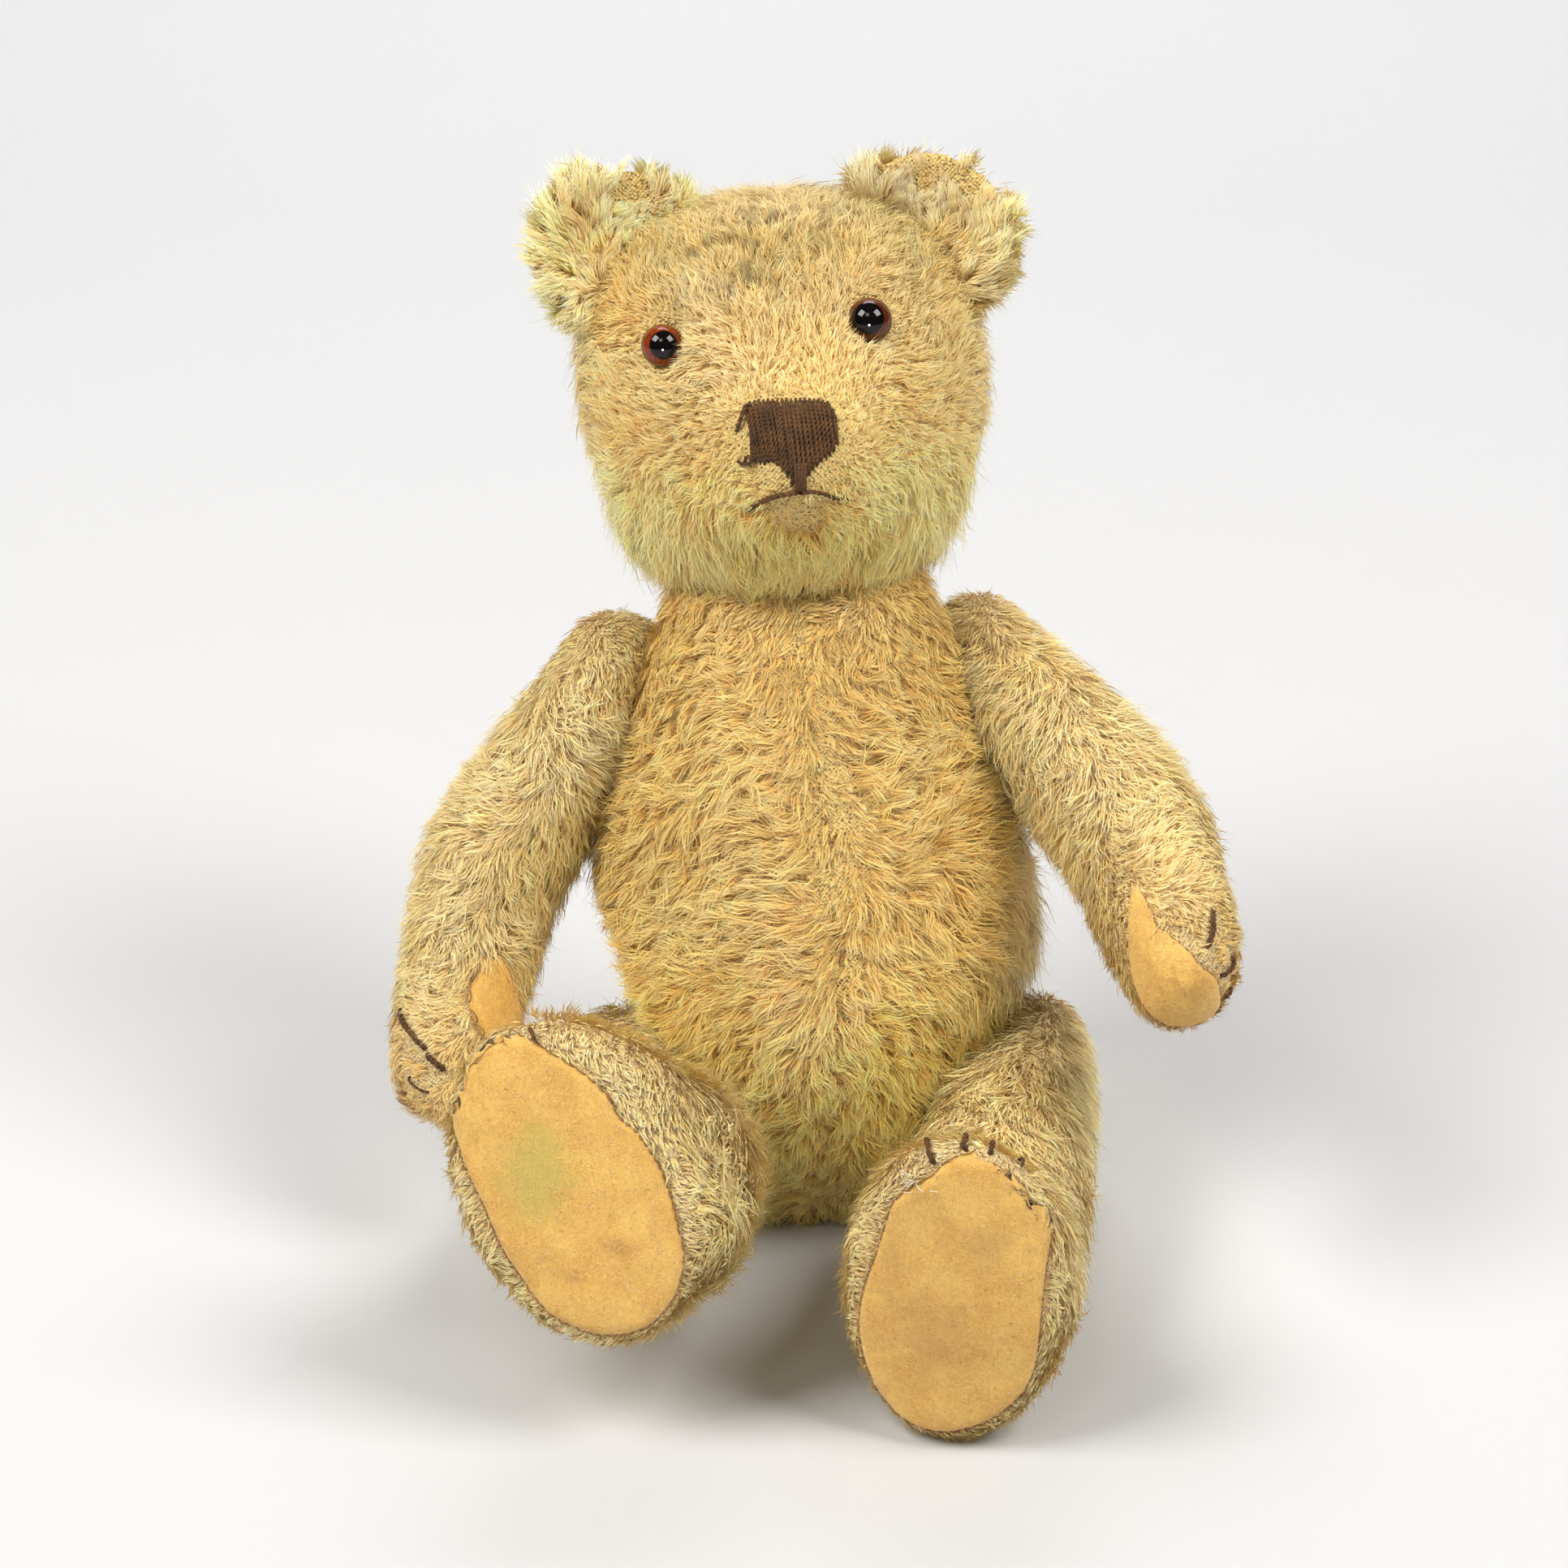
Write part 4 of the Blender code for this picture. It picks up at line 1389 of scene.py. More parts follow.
@dataclass(frozen=True)
class Finishes:
    """The materials that more than one part shares."""

    pile: Material
    backing: Material
    pale_backing: Material
    thread: Material
    seam_thread: Material

    @classmethod
    def mixed(cls) -> "Finishes":
        """Makes them all."""
        return cls(
            MohairPile().make(), WovenBacking().make(),
            WovenBacking(1.0 * MM, "pale_backing", linear(250, 224, 166), linear(238, 202, 136),
                         linear(210, 164, 104)).make(),
            Yarn("brown_yarn", linear(124, 82, 40), linear(20, 12, 5)).make(),
            Yarn("seam_thread", linear(172, 124, 72), linear(112, 76, 42)).make())


def toned(points: Array, marks: Sequence[tuple[Array | float, Colour]]) -> Array:
    """Tones multiplied together where marks are felt.

    Args:
        points: rows of positions.
        marks: how strongly each mark is felt, everywhere or at each point, and its colour.

    Returns:
        One multiplying colour for each point.
    """
    tone = np.ones((len(points), 3))
    for felt, colour in marks:
        tone = tone * (1.0 - np.asarray(felt)[..., None] * (1.0 - np.array(colour)))
    return tone


# Torso.

@dataclass
class Torso(Furred):
    """The stuffed body: a front and a back seam, and long locks that sweep off the front."""

    cut: PileCut = PileCut(98000, 8.6 * MM, 0.25 * MM, 0.45, 2.2 * MM, 0.36, 0.9, 0.13)
    seam_bend: Triple = (3.5, 8.5, 74.0)
    bare: tuple[Spot, ...] = (
        Spot((2.1, -9.5, 120.2), 3.0, 0.75), Spot((3.4, -14.3, 109.4), 4.5, 0.95),
        Spot((4.3, -19.5, 98.4), 3.6, 0.85), Spot((0.2, -22.1, 93.4), 2.6, 0.8),
        Spot((6.7, -27.6, 79.5), 3.0, 0.8), Spot((18.1, -8.7, 111.0), 2.4, 0.6))
    # Spots at the top of the body below the head where the pile is darker and browner.
    soiled: tuple[Spot, ...] = (Spot((-7.3, -1.7, 137.6), 7.0, 0.5), Spot((4, 2, 143), 9.0, 0.3))

    def __post_init__(self) -> None:
        """Takes the body's lean from the neck's hinge."""
        self.stance = Stance.upright(np.zeros(3), joint_named("neck_turn")[1])

    def seam_across(self, up: Array) -> Array:
        """How far across the front seam runs at each height, in millimetres."""
        top, most, middle = self.seam_bend
        return top + (most - top) * np.exp(-((up - middle) / 45.0) ** 2) - 3.0 * ease(60, 10, up)

    def off_seam(self, points: Array) -> Array:
        """How far each point is from the nearer of the two seams, in metres."""
        across, front, up = self.stance.measure(points)
        middle = np.where(front > 0.0, self.seam_across(up), 0.0)
        return (across - middle) * MM

    def comb(self, points: Array) -> Array:
        """Which way the pile lies."""
        across, front, up = self.stance.measure(points)
        off = across - self.seam_across(up)
        ahead = ease(-10.0, 8.0, front)
        low = ease(78.0, 20.0, up)
        high = ease(120.0, 150.0, up)
        swirl = 0.8 * high * cloudy(points, 11.0 * MM, 77) + 0.3 * cloudy(points, 17.0 * MM, 78)
        sweep = np.tanh(off / 9.0) * (1.05 - 0.5 * low - 0.55 * high) + swirl
        down = (0.45 + 0.75 * low + 0.25 * high + 0.2 * np.exp(-(off / 7.0) ** 2)
                + 0.35 * cloudy(points, 9.0 * MM, 79))
        back = self.stance.way(0.25 * np.tanh(across / 20.0), 0.0, -1.0)
        fore = self.stance.way(sweep, 0.0, -down)
        return unit(fore * ahead[:, None] + back * (1.0 - ahead)[:, None])

    def cover(self, points: Array) -> Array:
        """How much pile is left."""
        _, front, _ = self.stance.measure(points)
        off = np.abs(self.off_seam(points)) / MM
        seam = np.where(front > 0.0, 1.0 - ease(0.6, 2.2, off), 0.0)
        ragged = ease(-0.1, 0.6, cloudy(points, 6.0 * MM, 41))
        return np.clip(1.0 - 0.97 * spotted(points, self.bare) - 0.5 * seam * ragged, 0.03, 1.0)

    def reach(self, points: Array) -> Array:
        """How long the pile is, beside its full length."""
        across, front, up = self.stance.measure(points)
        off = np.abs(self.off_seam(points)) / MM
        near_seam = np.where(front > 0.0, np.exp(-(off / 5.0) ** 2), 0.0)
        worn = 1.0 - 0.5 * spotted(points, widened(self.bare, 2.0))
        tufts = 0.5 * ease(24.0, 42.0, across) * ease(30.0, 50.0, up) * ease(112.0, 90.0, up)
        return (1.0 - 0.36 * ease(108.0, 140.0, up) - 0.3 * near_seam + tufts) * worn

    def tone(self, points: Array) -> Array:
        """Fading and darker places on the pile, with painted light and shade."""
        across, front, up = self.stance.measure(points)
        low = ease(40.0, 8.0, up)
        chest = ease(112.0, 140.0, up) * ease(0.0, 12.0, front)
        cloud = ease(0.1, 0.9, cloudy(points, 15.0 * MM, 23))
        side = ease(30.0, 46.0, np.abs(across))
        return toned(points, (
            (1.0, (1.0, 0.955, 0.80)),
            # Painted light brightens the lower belly; the pile is also darker and browner towards
            # the bottom.
            (-0.2 * ease(75.0, 45.0, up), (0.0, 0.0, 0.0)), (0.2 * low, (0.9, 0.84, 0.76)),
            (0.6 * chest, (0.93, 0.86, 0.72)),
            (0.35 * cloud, (0.96, 0.9, 0.78)), (spotted(points, self.soiled), (0.8, 0.72, 0.6)),
            # Painted shade darkens the body's sides.
            (0.3 * side, (0.94, 0.9, 0.84))))

    def build(self, finishes: Finishes) -> None:
        """Makes the body's skin, pile and mended front seam.

        Args:
            finishes: the bear's materials.
        """
        skin = Skin("torso", 2.6 * MM, seam=self.off_seam)
        skin.build(finishes.backing)
        Pile("torso_pile", skin, self.cut, self, 101).grow(finishes.pile)
        self._stitches(skin, finishes.seam_thread)

    def _stitches(self, skin: Skin, material: Material) -> None:
        """The few closing stitches that still show on the front seam.

        Args:
            skin: the body's skin.
            material: its finish.
        """
        stance, relief, stock = self.stance, Relief(skin.points, skin.triangles), MeshStock()
        for height, length in ((69.5, 3.4), (75.0, 2.0), (96.0, 2.4), (100.5, 2.0), (108.0, 2.6),
                               (113.0, 2.0), (122.0, 2.2)):
            spots = []
            for step in range(9):
                up = height + length * (step / 8.0 - 0.5)
                across = float(self.seam_across(np.array([up]))[0]) + 0.5 * (step / 8.0 - 0.5)
                start = (stance.across * across + stance.up * up + stance.front * 90.0) * MM
                lift = (0.5 + 1.1 * math.sin(math.pi * step / 8.0)) * MM
                spot = relief.drop(start, -stance.front, lift)
                if spot is not None:
                    spots.append(spot)
            if len(spots) > 4:
                stock.tube(spline(spots, 14), 0.24 * MM, 6)
        settle(stock.piece("torso_seam_stitches", material), "torso")


# Felt.

@dataclass(frozen=True)
class Pattern:
    """A flat felt pattern: its middle and facing, and points round its edge in millimetres."""

    middle: Triple
    facing: Triple
    edge: tuple[tuple[float, float], ...]

    def reach(self, count: int) -> Array:
        """How far the edge is in each of count even directions, in metres.

        Args:
            count: how many are wanted.

        Returns:
            One distance for each direction.
        """
        edge = spline(np.array([(*spot, 0.0) for spot in (*self.edge, self.edge[0])]), 240)
        angles = np.arctan2(edge[:, 1], edge[:, 0]) % math.tau
        return np.interp(np.arange(count) * math.tau / count, angles,
                         np.hypot(edge[:, 0], edge[:, 1]), period=math.tau) * MM


@dataclass
class FeltPad(Furred):
    """A felt pad let into the end of a limb, with the row of stitches round it."""

    name: str
    node: str
    limb: Skin
    felt: Material
    pattern: Pattern
    thick: float = 2.15 * MM
    rings: int = 22
    sectors: int = 104
    fibres: int = 4500
    stitch_pitch: float = 2.6 * MM

    def __post_init__(self) -> None:
        """Sets the pattern's own directions."""
        self.middle = np.array(self.pattern.middle) * MM
        self.facing = unit(np.array(self.pattern.facing))
        self.up = unit(np.array([0.0, 0.0, 1.0]) - self.facing * self.facing[2])
        self.across = np.cross(self.up, self.facing)
        self.skin = Relief(self.limb.points, self.limb.triangles)
        self.outline = self.pattern.reach(self.sectors)

    def comb(self, points: Array) -> Array:
        """Round the pad's middle, and a little astray."""
        return unit(np.cross(points - self.middle, self.facing)
                    + cloudy(points, 2.0 * MM, 61)[:, None] * self.up * 0.02 + self.up * 0.004)

    def cover(self, points: Array) -> Array:
        """Fibres on the pad's face and none underneath."""
        return np.where(dot(points - self.middle, self.facing) > -9.0 * MM, 1.0, 0.0)

    def _angles(self) -> Array:
        """The direction of each sector."""
        return np.arange(self.sectors) * math.tau / self.sectors

    def _ray(self, angle: float) -> Array:
        """The direction across the pad at an angle."""
        return self.across * math.cos(angle) + self.up * math.sin(angle)

    def spot(self, angle: float, share: float, lift: float) -> Array:
        """A point over the limb's skin.

        Args:
            angle: its direction from the pad's middle.
            share: how far it is on the way from middle to edge.
            lift: how far off the skin.

        Returns:
            The point.
        """
        reach = float(np.interp(angle, self._angles(), self.outline, period=math.tau))
        start = self.middle + self._ray(angle) * reach * share
        found = self.skin.drop(start + self.facing * 0.04, -self.facing)
        at, normal = self.skin.foot(start if found is None else found)
        return at + unit(0.5 * (self.facing + normal)) * lift

    def build(self, finishes: Finishes) -> None:
        """Makes the pad, its stitches and its loose fibres.

        Args:
            finishes: the bear's materials.
        """
        angles = self._angles()
        shares = [*(np.linspace(0.0, 1.0, self.rings)[1:-1] ** 0.8), 0.985, 1.012, 1.02]
        lifts = [self.thick] * (self.rings - 2) + [self.thick - 0.2 * MM, self.thick - 0.8 * MM,
                                                   self.thick - 1.7 * MM]
        points = [self.spot(0.0, 0.0, self.thick)]
        for share, lift in zip(shares, lifts):
            points += [self.spot(angle, share, lift) for angle in angles]
        top = np.array(points)
        soft = cloudy(top, 9.0 * MM, 51) * 0.18 * MM + cloudy(top, 2.2 * MM, 52) * 0.06 * MM
        top = top + self.facing * soft[:, None]
        under = self.middle - self.facing * 1.5 * MM
        starts = 1 + np.arange(len(shares)) * self.sectors
        faces = np.vstack([
            ring_fan(1, 0, self.sectors)[:, [2, 1, 0, 0]],
            *(ring_quads(outer, inner, self.sectors)[:, [3, 0, 1, 2]]
              for inner, outer in itertools.pairwise(starts)),
            ring_fan(starts[-1], len(top), self.sectors)])
        points = np.vstack([top, under])
        stock = MeshStock()
        stock.put(points, faces)
        piece = stock.piece(self.name, self.felt)
        body = body_of_node(self.node)
        settle(piece, body, [self.node])
        self._stitches(finishes.seam_thread, body)
        self._fuzz(piece, finishes.pile)
        self.limb.laid.append(
            Relief(points, np.vstack([faces[:, [0, 1, 2]], faces[:, [0, 2, 3]]])))

    def _stitches(self, material: Material, body: str) -> None:
        """Short dark stitches in the groove round the pad.

        Args:
            material: its finish.
            body: the body that they ride on.
        """
        stock = MeshStock()
        length = math.tau * float(self.outline.mean())
        number = int(length / self.stitch_pitch)
        jitter = np.random.default_rng(7).normal(0.0, 0.1, (number, 3))
        for k in range(number):
            start = (k + 0.1 + jitter[k, 0]) / number * math.tau
            end = (k + 0.82 + jitter[k, 1]) / number * math.tau
            path = []
            for step in range(6):
                share = step / 5.0
                hump = math.sin(math.pi * share)
                path.append(self.spot(start + (end - start) * share,
                                      1.022 + 0.012 * jitter[k, 2],
                                      self.thick - (1.3 - 0.9 * hump) * MM))
            stock.tube(path, 0.14 * MM, 5)
        settle(stock.piece(self.name + "_stitches", material), body)

    def _fuzz(self, pad: Piece, material: Material) -> None:
        """Short loose wool fibres that stand off the felt.

        Args:
            pad: the felt piece.
            material: its finish.
        """
        patch = Skin(self.node, 1.0 * MM)
        patch.read(pad)
        # The fibres are darker at the root and paler at the tip, partly painted shade and light.
        cut = PileCut(self.fibres, 2.3 * MM, 0.085 * MM, 0.17, 1.5 * MM, 0.0, 3.0, 0.06,
                      linear(220, 168, 98), linear(236, 192, 122), linear(244, 206, 142))
        FeltFuzz(self.name + "_fuzz", patch, cut, self, 211).grow(material)


class FeltFuzz(Pile):
    """Fibres on felt, which nothing lies on."""

    def _cleared(self, roots: Roots, body: str, others: Relief) -> Roots:
        """Drops only the roots that the ground or another body is near."""
        room, _ = others.nearest(roots.at, 8.0 * MM)
        roots.free = np.clip(room / (3.0 * MM), 0.3, 1.0)
        return roots.picked((room > 0.8 * MM) & (roots.at[:, 2] > 0.6 * MM))


# Stitches.

@dataclass(frozen=True)
class ClawStitch:
    """One yarn stitch from one place to another, in millimetres."""

    start: Triple
    end: Triple
    radius: float = 0.55 * MM

    def path(self, relief: Relief, lift: float, drawn_in: float = 0.4 * MM) -> Array:
        """The stitch's line over the skin, with its ends drawn in.

        Args:
            relief: the skin.
            lift: how far off the surface, in metres.
            drawn_in: how deep its ends go.

        Returns:
            Rows of positions.
        """
        spots = []
        for share in np.linspace(0.0, 1.0, 15):
            flat = np.array(self.start) * (1 - share) + np.array(self.end) * share
            at, normal = relief.foot(flat * MM)
            hump = math.sin(math.pi * share) ** 0.45
            spots.append(at + normal * (hump * (lift + drawn_in) - drawn_in))
        return spline(spots, 60)


@dataclass(frozen=True)
class LooseThread:
    """A frayed tuft of thread that stands out of a seam; its place is in millimetres."""

    place: Triple
    reach: float = 7.0 * MM
    ends: int = 9
    thickness: float = 0.15 * MM

    def build(self, name: str, body: str, relief: Relief) -> None:
        """Makes the tuft on a skin.

        Args:
            name: the piece's name.
            body: the body that it rides on.
            relief: the skin that it stands on.
        """
        random = np.random.default_rng(61)
        foot, out = relief.foot(np.array(self.place) * MM)
        stock = MeshStock()
        for _ in range(self.ends):
            way = unit(out + random.normal(0.0, 0.55, 3))
            bend = unit(way + random.normal(0.0, 0.7, 3))
            length = self.reach * (0.55 + 0.6 * random.random())
            spots = [foot - out * MM, foot + way * length * 0.5,
                     foot + (way + bend) * length * 0.5]
            stock.tube(spline(spots, 12), self.thickness, 5)
        yarn = Yarn(name, linear(250, 244, 226), linear(214, 200, 168)).make()
        settle(stock.piece(name, yarn), body)


# Head.

@dataclass
class Ear(Furred):
    """A cupped ear sewn on at the top corner of the head."""

    side: Side
    bare: tuple[Spot, ...]
    paler: float = 0.0
    cut: PileCut = PileCut(14000, 7.6 * MM, 0.25 * MM, 0.5, 2.0 * MM, 0.2, 0.8, 0.15,
                           linear(234, 186, 108), linear(248, 220, 150),
                           linear(255, 243, 200))

    def __post_init__(self) -> None:
        """Finds the ear's middle and its root on the head."""
        self.node = "ear_" + self.side.value
        self.middle = box_middle(self.node)
        self.base = self.middle - np.array([self.side.sign * 7.0, 0.0, 9.0]) * MM

    def cup(self, points: Array, radius: float) -> Array:
        """1 in the middle of the ear's front, falling to 0 at a radius."""
        return near_spot(points, self.middle, radius) * (points[:, 1] < self.middle[1] + MM)

    def comb(self, points: Array) -> Array:
        """Outwards from the ear's root."""
        return unit(points - self.base + np.array([0.0, 0.0, 0.5]) * MM)

    def cover(self, points: Array) -> Array:
        """Worn away on the rim and thin in the cup."""
        thin = 0.99 * spotted(points, self.bare, 0.6) + 0.35 * self.cup(points, 13.0 * MM)
        return np.clip(1.0 - thin, 0.01, 1.0)

    def reach(self, points: Array) -> Array:
        """Long round the rim and shorter in the cup."""
        out = np.linalg.norm((points - self.middle)[:, [0, 2]], axis=1)
        return 0.55 + 0.5 * ease(8.0 * MM, 17.0 * MM, out) - 0.35 * spotted(
            points, widened(self.bare, 1.6))

    def tone(self, points: Array) -> Array:
        """Darker gold in the cup and at the root."""
        root = near_spot(points, self.base, 15.0 * MM)
        return toned(points, ((0.6 * self.cup(points, 17.0 * MM), (0.94, 0.86, 0.70)),
                              (0.4 * root, (0.86, 0.78, 0.64)),
                              (-self.paler, (0.0, 0.0, 0.0))))

    def build(self, finishes: Finishes) -> None:
        """Makes the ear's skin and pile.

        Args:
            finishes: the bear's materials.
        """
        skin = Skin(self.node, 1.3 * MM, swell=0.3 * MM, lump=0.2 * MM)
        skin.build(finishes.backing)
        seed = 301 + (self.side is Side.LEFT)
        Pile(self.node + "_pile", skin, self.cut, self, seed).grow(finishes.pile)


@dataclass
class Eye:
    """A glass eye with its pupil and brown ring."""

    side: Side
    gaze: Triple
    pupil: float
    ring: Colour
    rim: Colour
    nudge: Triple = (0.0, 0.0, 0.0)
    scale: float = 1.1
    front: float = 1.03
    back: float = 0.9
    rows: int = 30
    sectors: int = 48

    def build(self) -> None:
        """Makes the eye: a domed front on a rounded back."""
        node = "eye_" + self.side.value
        low, high = (np.array(c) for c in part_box(node))
        middle = (low + high) / 2.0 + np.array(self.nudge) * MM
        radius = float((high - low).max()) / 2.0 * self.scale
        ahead = unit(np.array(self.gaze))
        side = unit(np.cross((0.0, 0.0, 1.0), ahead))
        over = np.cross(ahead, side)
        rows, sectors, points = self.rows, self.sectors, []
        for row in range(1, rows):
            polar = math.pi * row / rows
            squash = self.front if polar < math.pi / 2 else self.back
            for sector in range(sectors):
                angle = math.tau * sector / sectors
                points.append(middle + radius * (
                    ahead * math.cos(polar) * squash
                    + (side * math.cos(angle) + over * math.sin(angle)) * math.sin(polar)))
        poles = [middle + ahead * radius * self.front, middle - ahead * radius * self.back]
        total = len(points)
        starts = np.arange(rows - 1) * sectors
        faces = [ring_quads(near, far, sectors)[:, ::-1]
                 for near, far in itertools.pairwise(starts)]
        faces.append(ring_fan(0, total, sectors)[:, [1, 0, 2, 3]])
        faces.append(ring_fan(starts[-1], total + 1, sectors))
        stock = MeshStock()
        stock.put(np.array(points + poles), np.vstack(faces))
        glass = EyeGlass("glass_" + self.side.value, tuple(middle), tuple(ahead), self.pupil,
                         self.ring, self.rim).make()
        settle(stock.piece("glass_eye_" + self.side.value, glass), "head", [node])


@dataclass
class Nose:
    """A shield of upright satin stitches with a stem, a slipped loop and a knotted end."""

    middle: Triple = (-6.6, -9.0, 197.5)
    rise: float = 24.0
    turn: float = 4.0
    yarn: float = 0.50 * MM
    pitch: float = 1.02
    top: tuple[tuple[float, float], ...] = (
        (-10.3, 8.4), (-9.4, 10.0), (-5.0, 10.3), (0.0, 10.5), (6.0, 10.1), (8.6, 8.8),
        (10.2, 5.6))
    bottom: tuple[tuple[float, float], ...] = (
        (-10.3, -4.0), (-8.0, -4.6), (-5.4, -4.9), (-3.8, -5.4), (-2.4, -7.4), (-0.8, -11.2),
        (1.7, -11.2), (2.4, -8.2), (3.8, -6.2), (6.4, -4.2), (8.6, -2.0), (10.2, 0.8))

    def __post_init__(self) -> None:
        """Sets the plane that the nose is drawn on."""
        angle, turn = math.radians(self.rise), math.radians(self.turn)
        self.out = np.array([math.sin(turn) * math.cos(angle), -math.cos(turn) * math.cos(angle),
                             math.sin(angle)])
        self.right = unit(np.cross(self.out, (0.0, 0.0, 1.0))) * -1.0
        self.up = np.cross(self.out, self.right)

    def high(self, across: Array | float) -> Array | float:
        """Where the shield's top edge is, in millimetres above its middle."""
        return np.interp(across, *np.transpose(self.top))

    def low(self, across: Array | float) -> Array | float:
        """Where the shield's bottom edge is, in millimetres above its middle."""
        return np.interp(across, *np.transpose(self.bottom))

    def spot(self, relief: Relief, across: float, up: float, lift: float) -> Array:
        """A place drawn on the nose's plane, laid on the skin and lifted.

        Args:
            relief: the head's skin.
            across: millimetres to the bear's left of the nose's middle.
            up: millimetres above it.
            lift: how far off the skin, in metres.

        Returns:
            The place.
        """
        start = np.array(self.middle) * MM + (self.right * across + self.up * up) * MM
        found = relief.drop(start + self.out * 0.05, -self.out)
        if found is None:
            at, normal = relief.foot(start)
            return at + normal * lift
        return found + self.out * lift

    def holds(self, points: Array, margin: float) -> Array:
        """1 for each point that lies under the shield or within a margin of it, else 0.

        Args:
            points: rows of positions.
            margin: how far round it still counts.

        Returns:
            1 or 0 for each point.
        """
        off = (points - np.array(self.middle) * MM) / MM
        across, up, deep = off @ self.right, off @ self.up, off @ self.out
        return ((np.abs(across) < 10.2 + margin) & (np.abs(deep) < 12.0)
                & (up < self.high(across) + margin)
                & (up > self.low(across) - margin)).astype(float)

    def build(self, relief: Relief, material: Material) -> None:
        """Lays the satin stitches, the stem, the loop and the knot.

        Args:
            relief: the skin.
            material: its finish.
        """
        stock = MeshStock()
        random = np.random.default_rng(17)
        for x in np.arange(-10.1, 10.15, self.pitch):
            slant = random.normal(0.0, 0.12)
            low_x = x * 0.93 + 0.55
            high = self.high(x) + random.normal(0.0, 0.12)
            low = self.low(low_x) + random.normal(0.0, 0.15)
            middle = 1.15 * MM + random.normal(0.0, 0.14) * MM
            spots = []
            for share in np.linspace(0.0, 1.0, 13):
                bulge = math.sin(math.pi * share) ** 0.35
                lean = x - 0.35 + (low_x - x + 0.7) * share + slant * math.sin(math.pi * share)
                spots.append(self.spot(relief, lean, high + (low - high) * share,
                                       bulge * (middle + 0.5 * MM) - 0.5 * MM))
            stock.yarn(spline(spots, 42), self.yarn, 0.57, 5, 2.6 * MM)
        self._pad(stock, relief)
        self._loose(stock, relief)
        settle(stock.piece("nose_yarn", material), "head", ["nose_stitching"])

    def _pad(self, stock: MeshStock, relief: Relief) -> None:
        """Crossing stitches underneath, which fill the shield.

        Args:
            stock: where the threads are gathered.
            relief: the skin.
        """
        for up in np.arange(-6.4, 8.4, 0.9):
            inside = [x for x in np.arange(-9.6, 9.7, 0.4)
                      if self.low(x) + 0.6 < up < self.high(x) - 0.6]
            if len(inside) > 4:
                path = [self.spot(relief, x, up, 0.35 * MM) for x in inside]
                stock.tube(path, 0.6 * MM, 5)
        for x in (-0.3, 0.5, 1.3, 2.1):
            path = [self.spot(relief, x * (1 - 0.5 * s) + 0.45 * s, -5.2 - 5.8 * s,
                              (1.0 - 0.5 * s) * MM) for s in np.linspace(0.0, 1.0, 9)]
            stock.tube(spline(path, 20), 0.5 * MM, 6)

    def _loose(self, stock: MeshStock, relief: Relief) -> None:
        """A slipped loop at the top corner and a knotted end below it.

        Args:
            stock: where the threads are gathered.
            relief: the skin.
        """
        loop = ((-9.4, 9.2, 1.0), (-10.4, 8.6, 1.5), (-11.3, 6.6, 1.7), (-12.0, 4.6, 1.5),
                (-12.5, 3.2, 0.2))
        knot = ((-9.0, -3.4, 1.4), (-10.0, -4.4, 2.0), (-11.0, -4.2, 1.8), (-10.8, -3.0, 2.4),
                (-9.9, -3.2, 2.6), (-10.2, -4.4, 2.4), (-11.6, -4.4, 1.8), (-12.6, -3.6, 1.7))
        for drawn, radius in ((loop, 0.5 * MM), (knot, 0.42 * MM)):
            spots = np.array([self.spot(relief, x, y, lift * MM) for x, y, lift in drawn])
            stock.yarn(spline(spots, 60), radius, 0.62, 6)


@dataclass
class Mouth:
    """Two yarn strokes from under the nose."""

    left_stroke: tuple[tuple[float, float], ...] = (
        (1.0, -11.5), (3.6, -11.4), (6.2, -11.9), (9.0, -12.7), (12.4, -12.6))
    right_stroke: tuple[tuple[float, float], ...] = (
        (0.4, -11.4), (-2.6, -11.8), (-5.6, -12.3), (-8.0, -13.1), (-10.3, -14.2))

    def build(self, nose: Nose, relief: Relief, material: Material) -> None:
        """Lays both strokes on the skin below the nose.

        Args:
            nose: the nose above it.
            relief: the skin.
            material: its finish.
        """
        stock = MeshStock()
        for stroke, radius in ((self.left_stroke, 0.5 * MM), (self.right_stroke, 0.62 * MM)):
            drawn = spline(np.column_stack([np.array(stroke), np.zeros(len(stroke))]), 15)
            spots = []
            for row, (x, y, _) in enumerate(drawn):
                hump = math.sin(math.pi * row / 14.0) ** 0.4
                spots.append(nose.spot(relief, x, y, (2.1 * hump - 0.3) * MM))
            stock.yarn(spline(spots, 90), radius, 0.64, 7)
        settle(stock.piece("mouth_yarn", material), "head", ["mouth_stitching"])


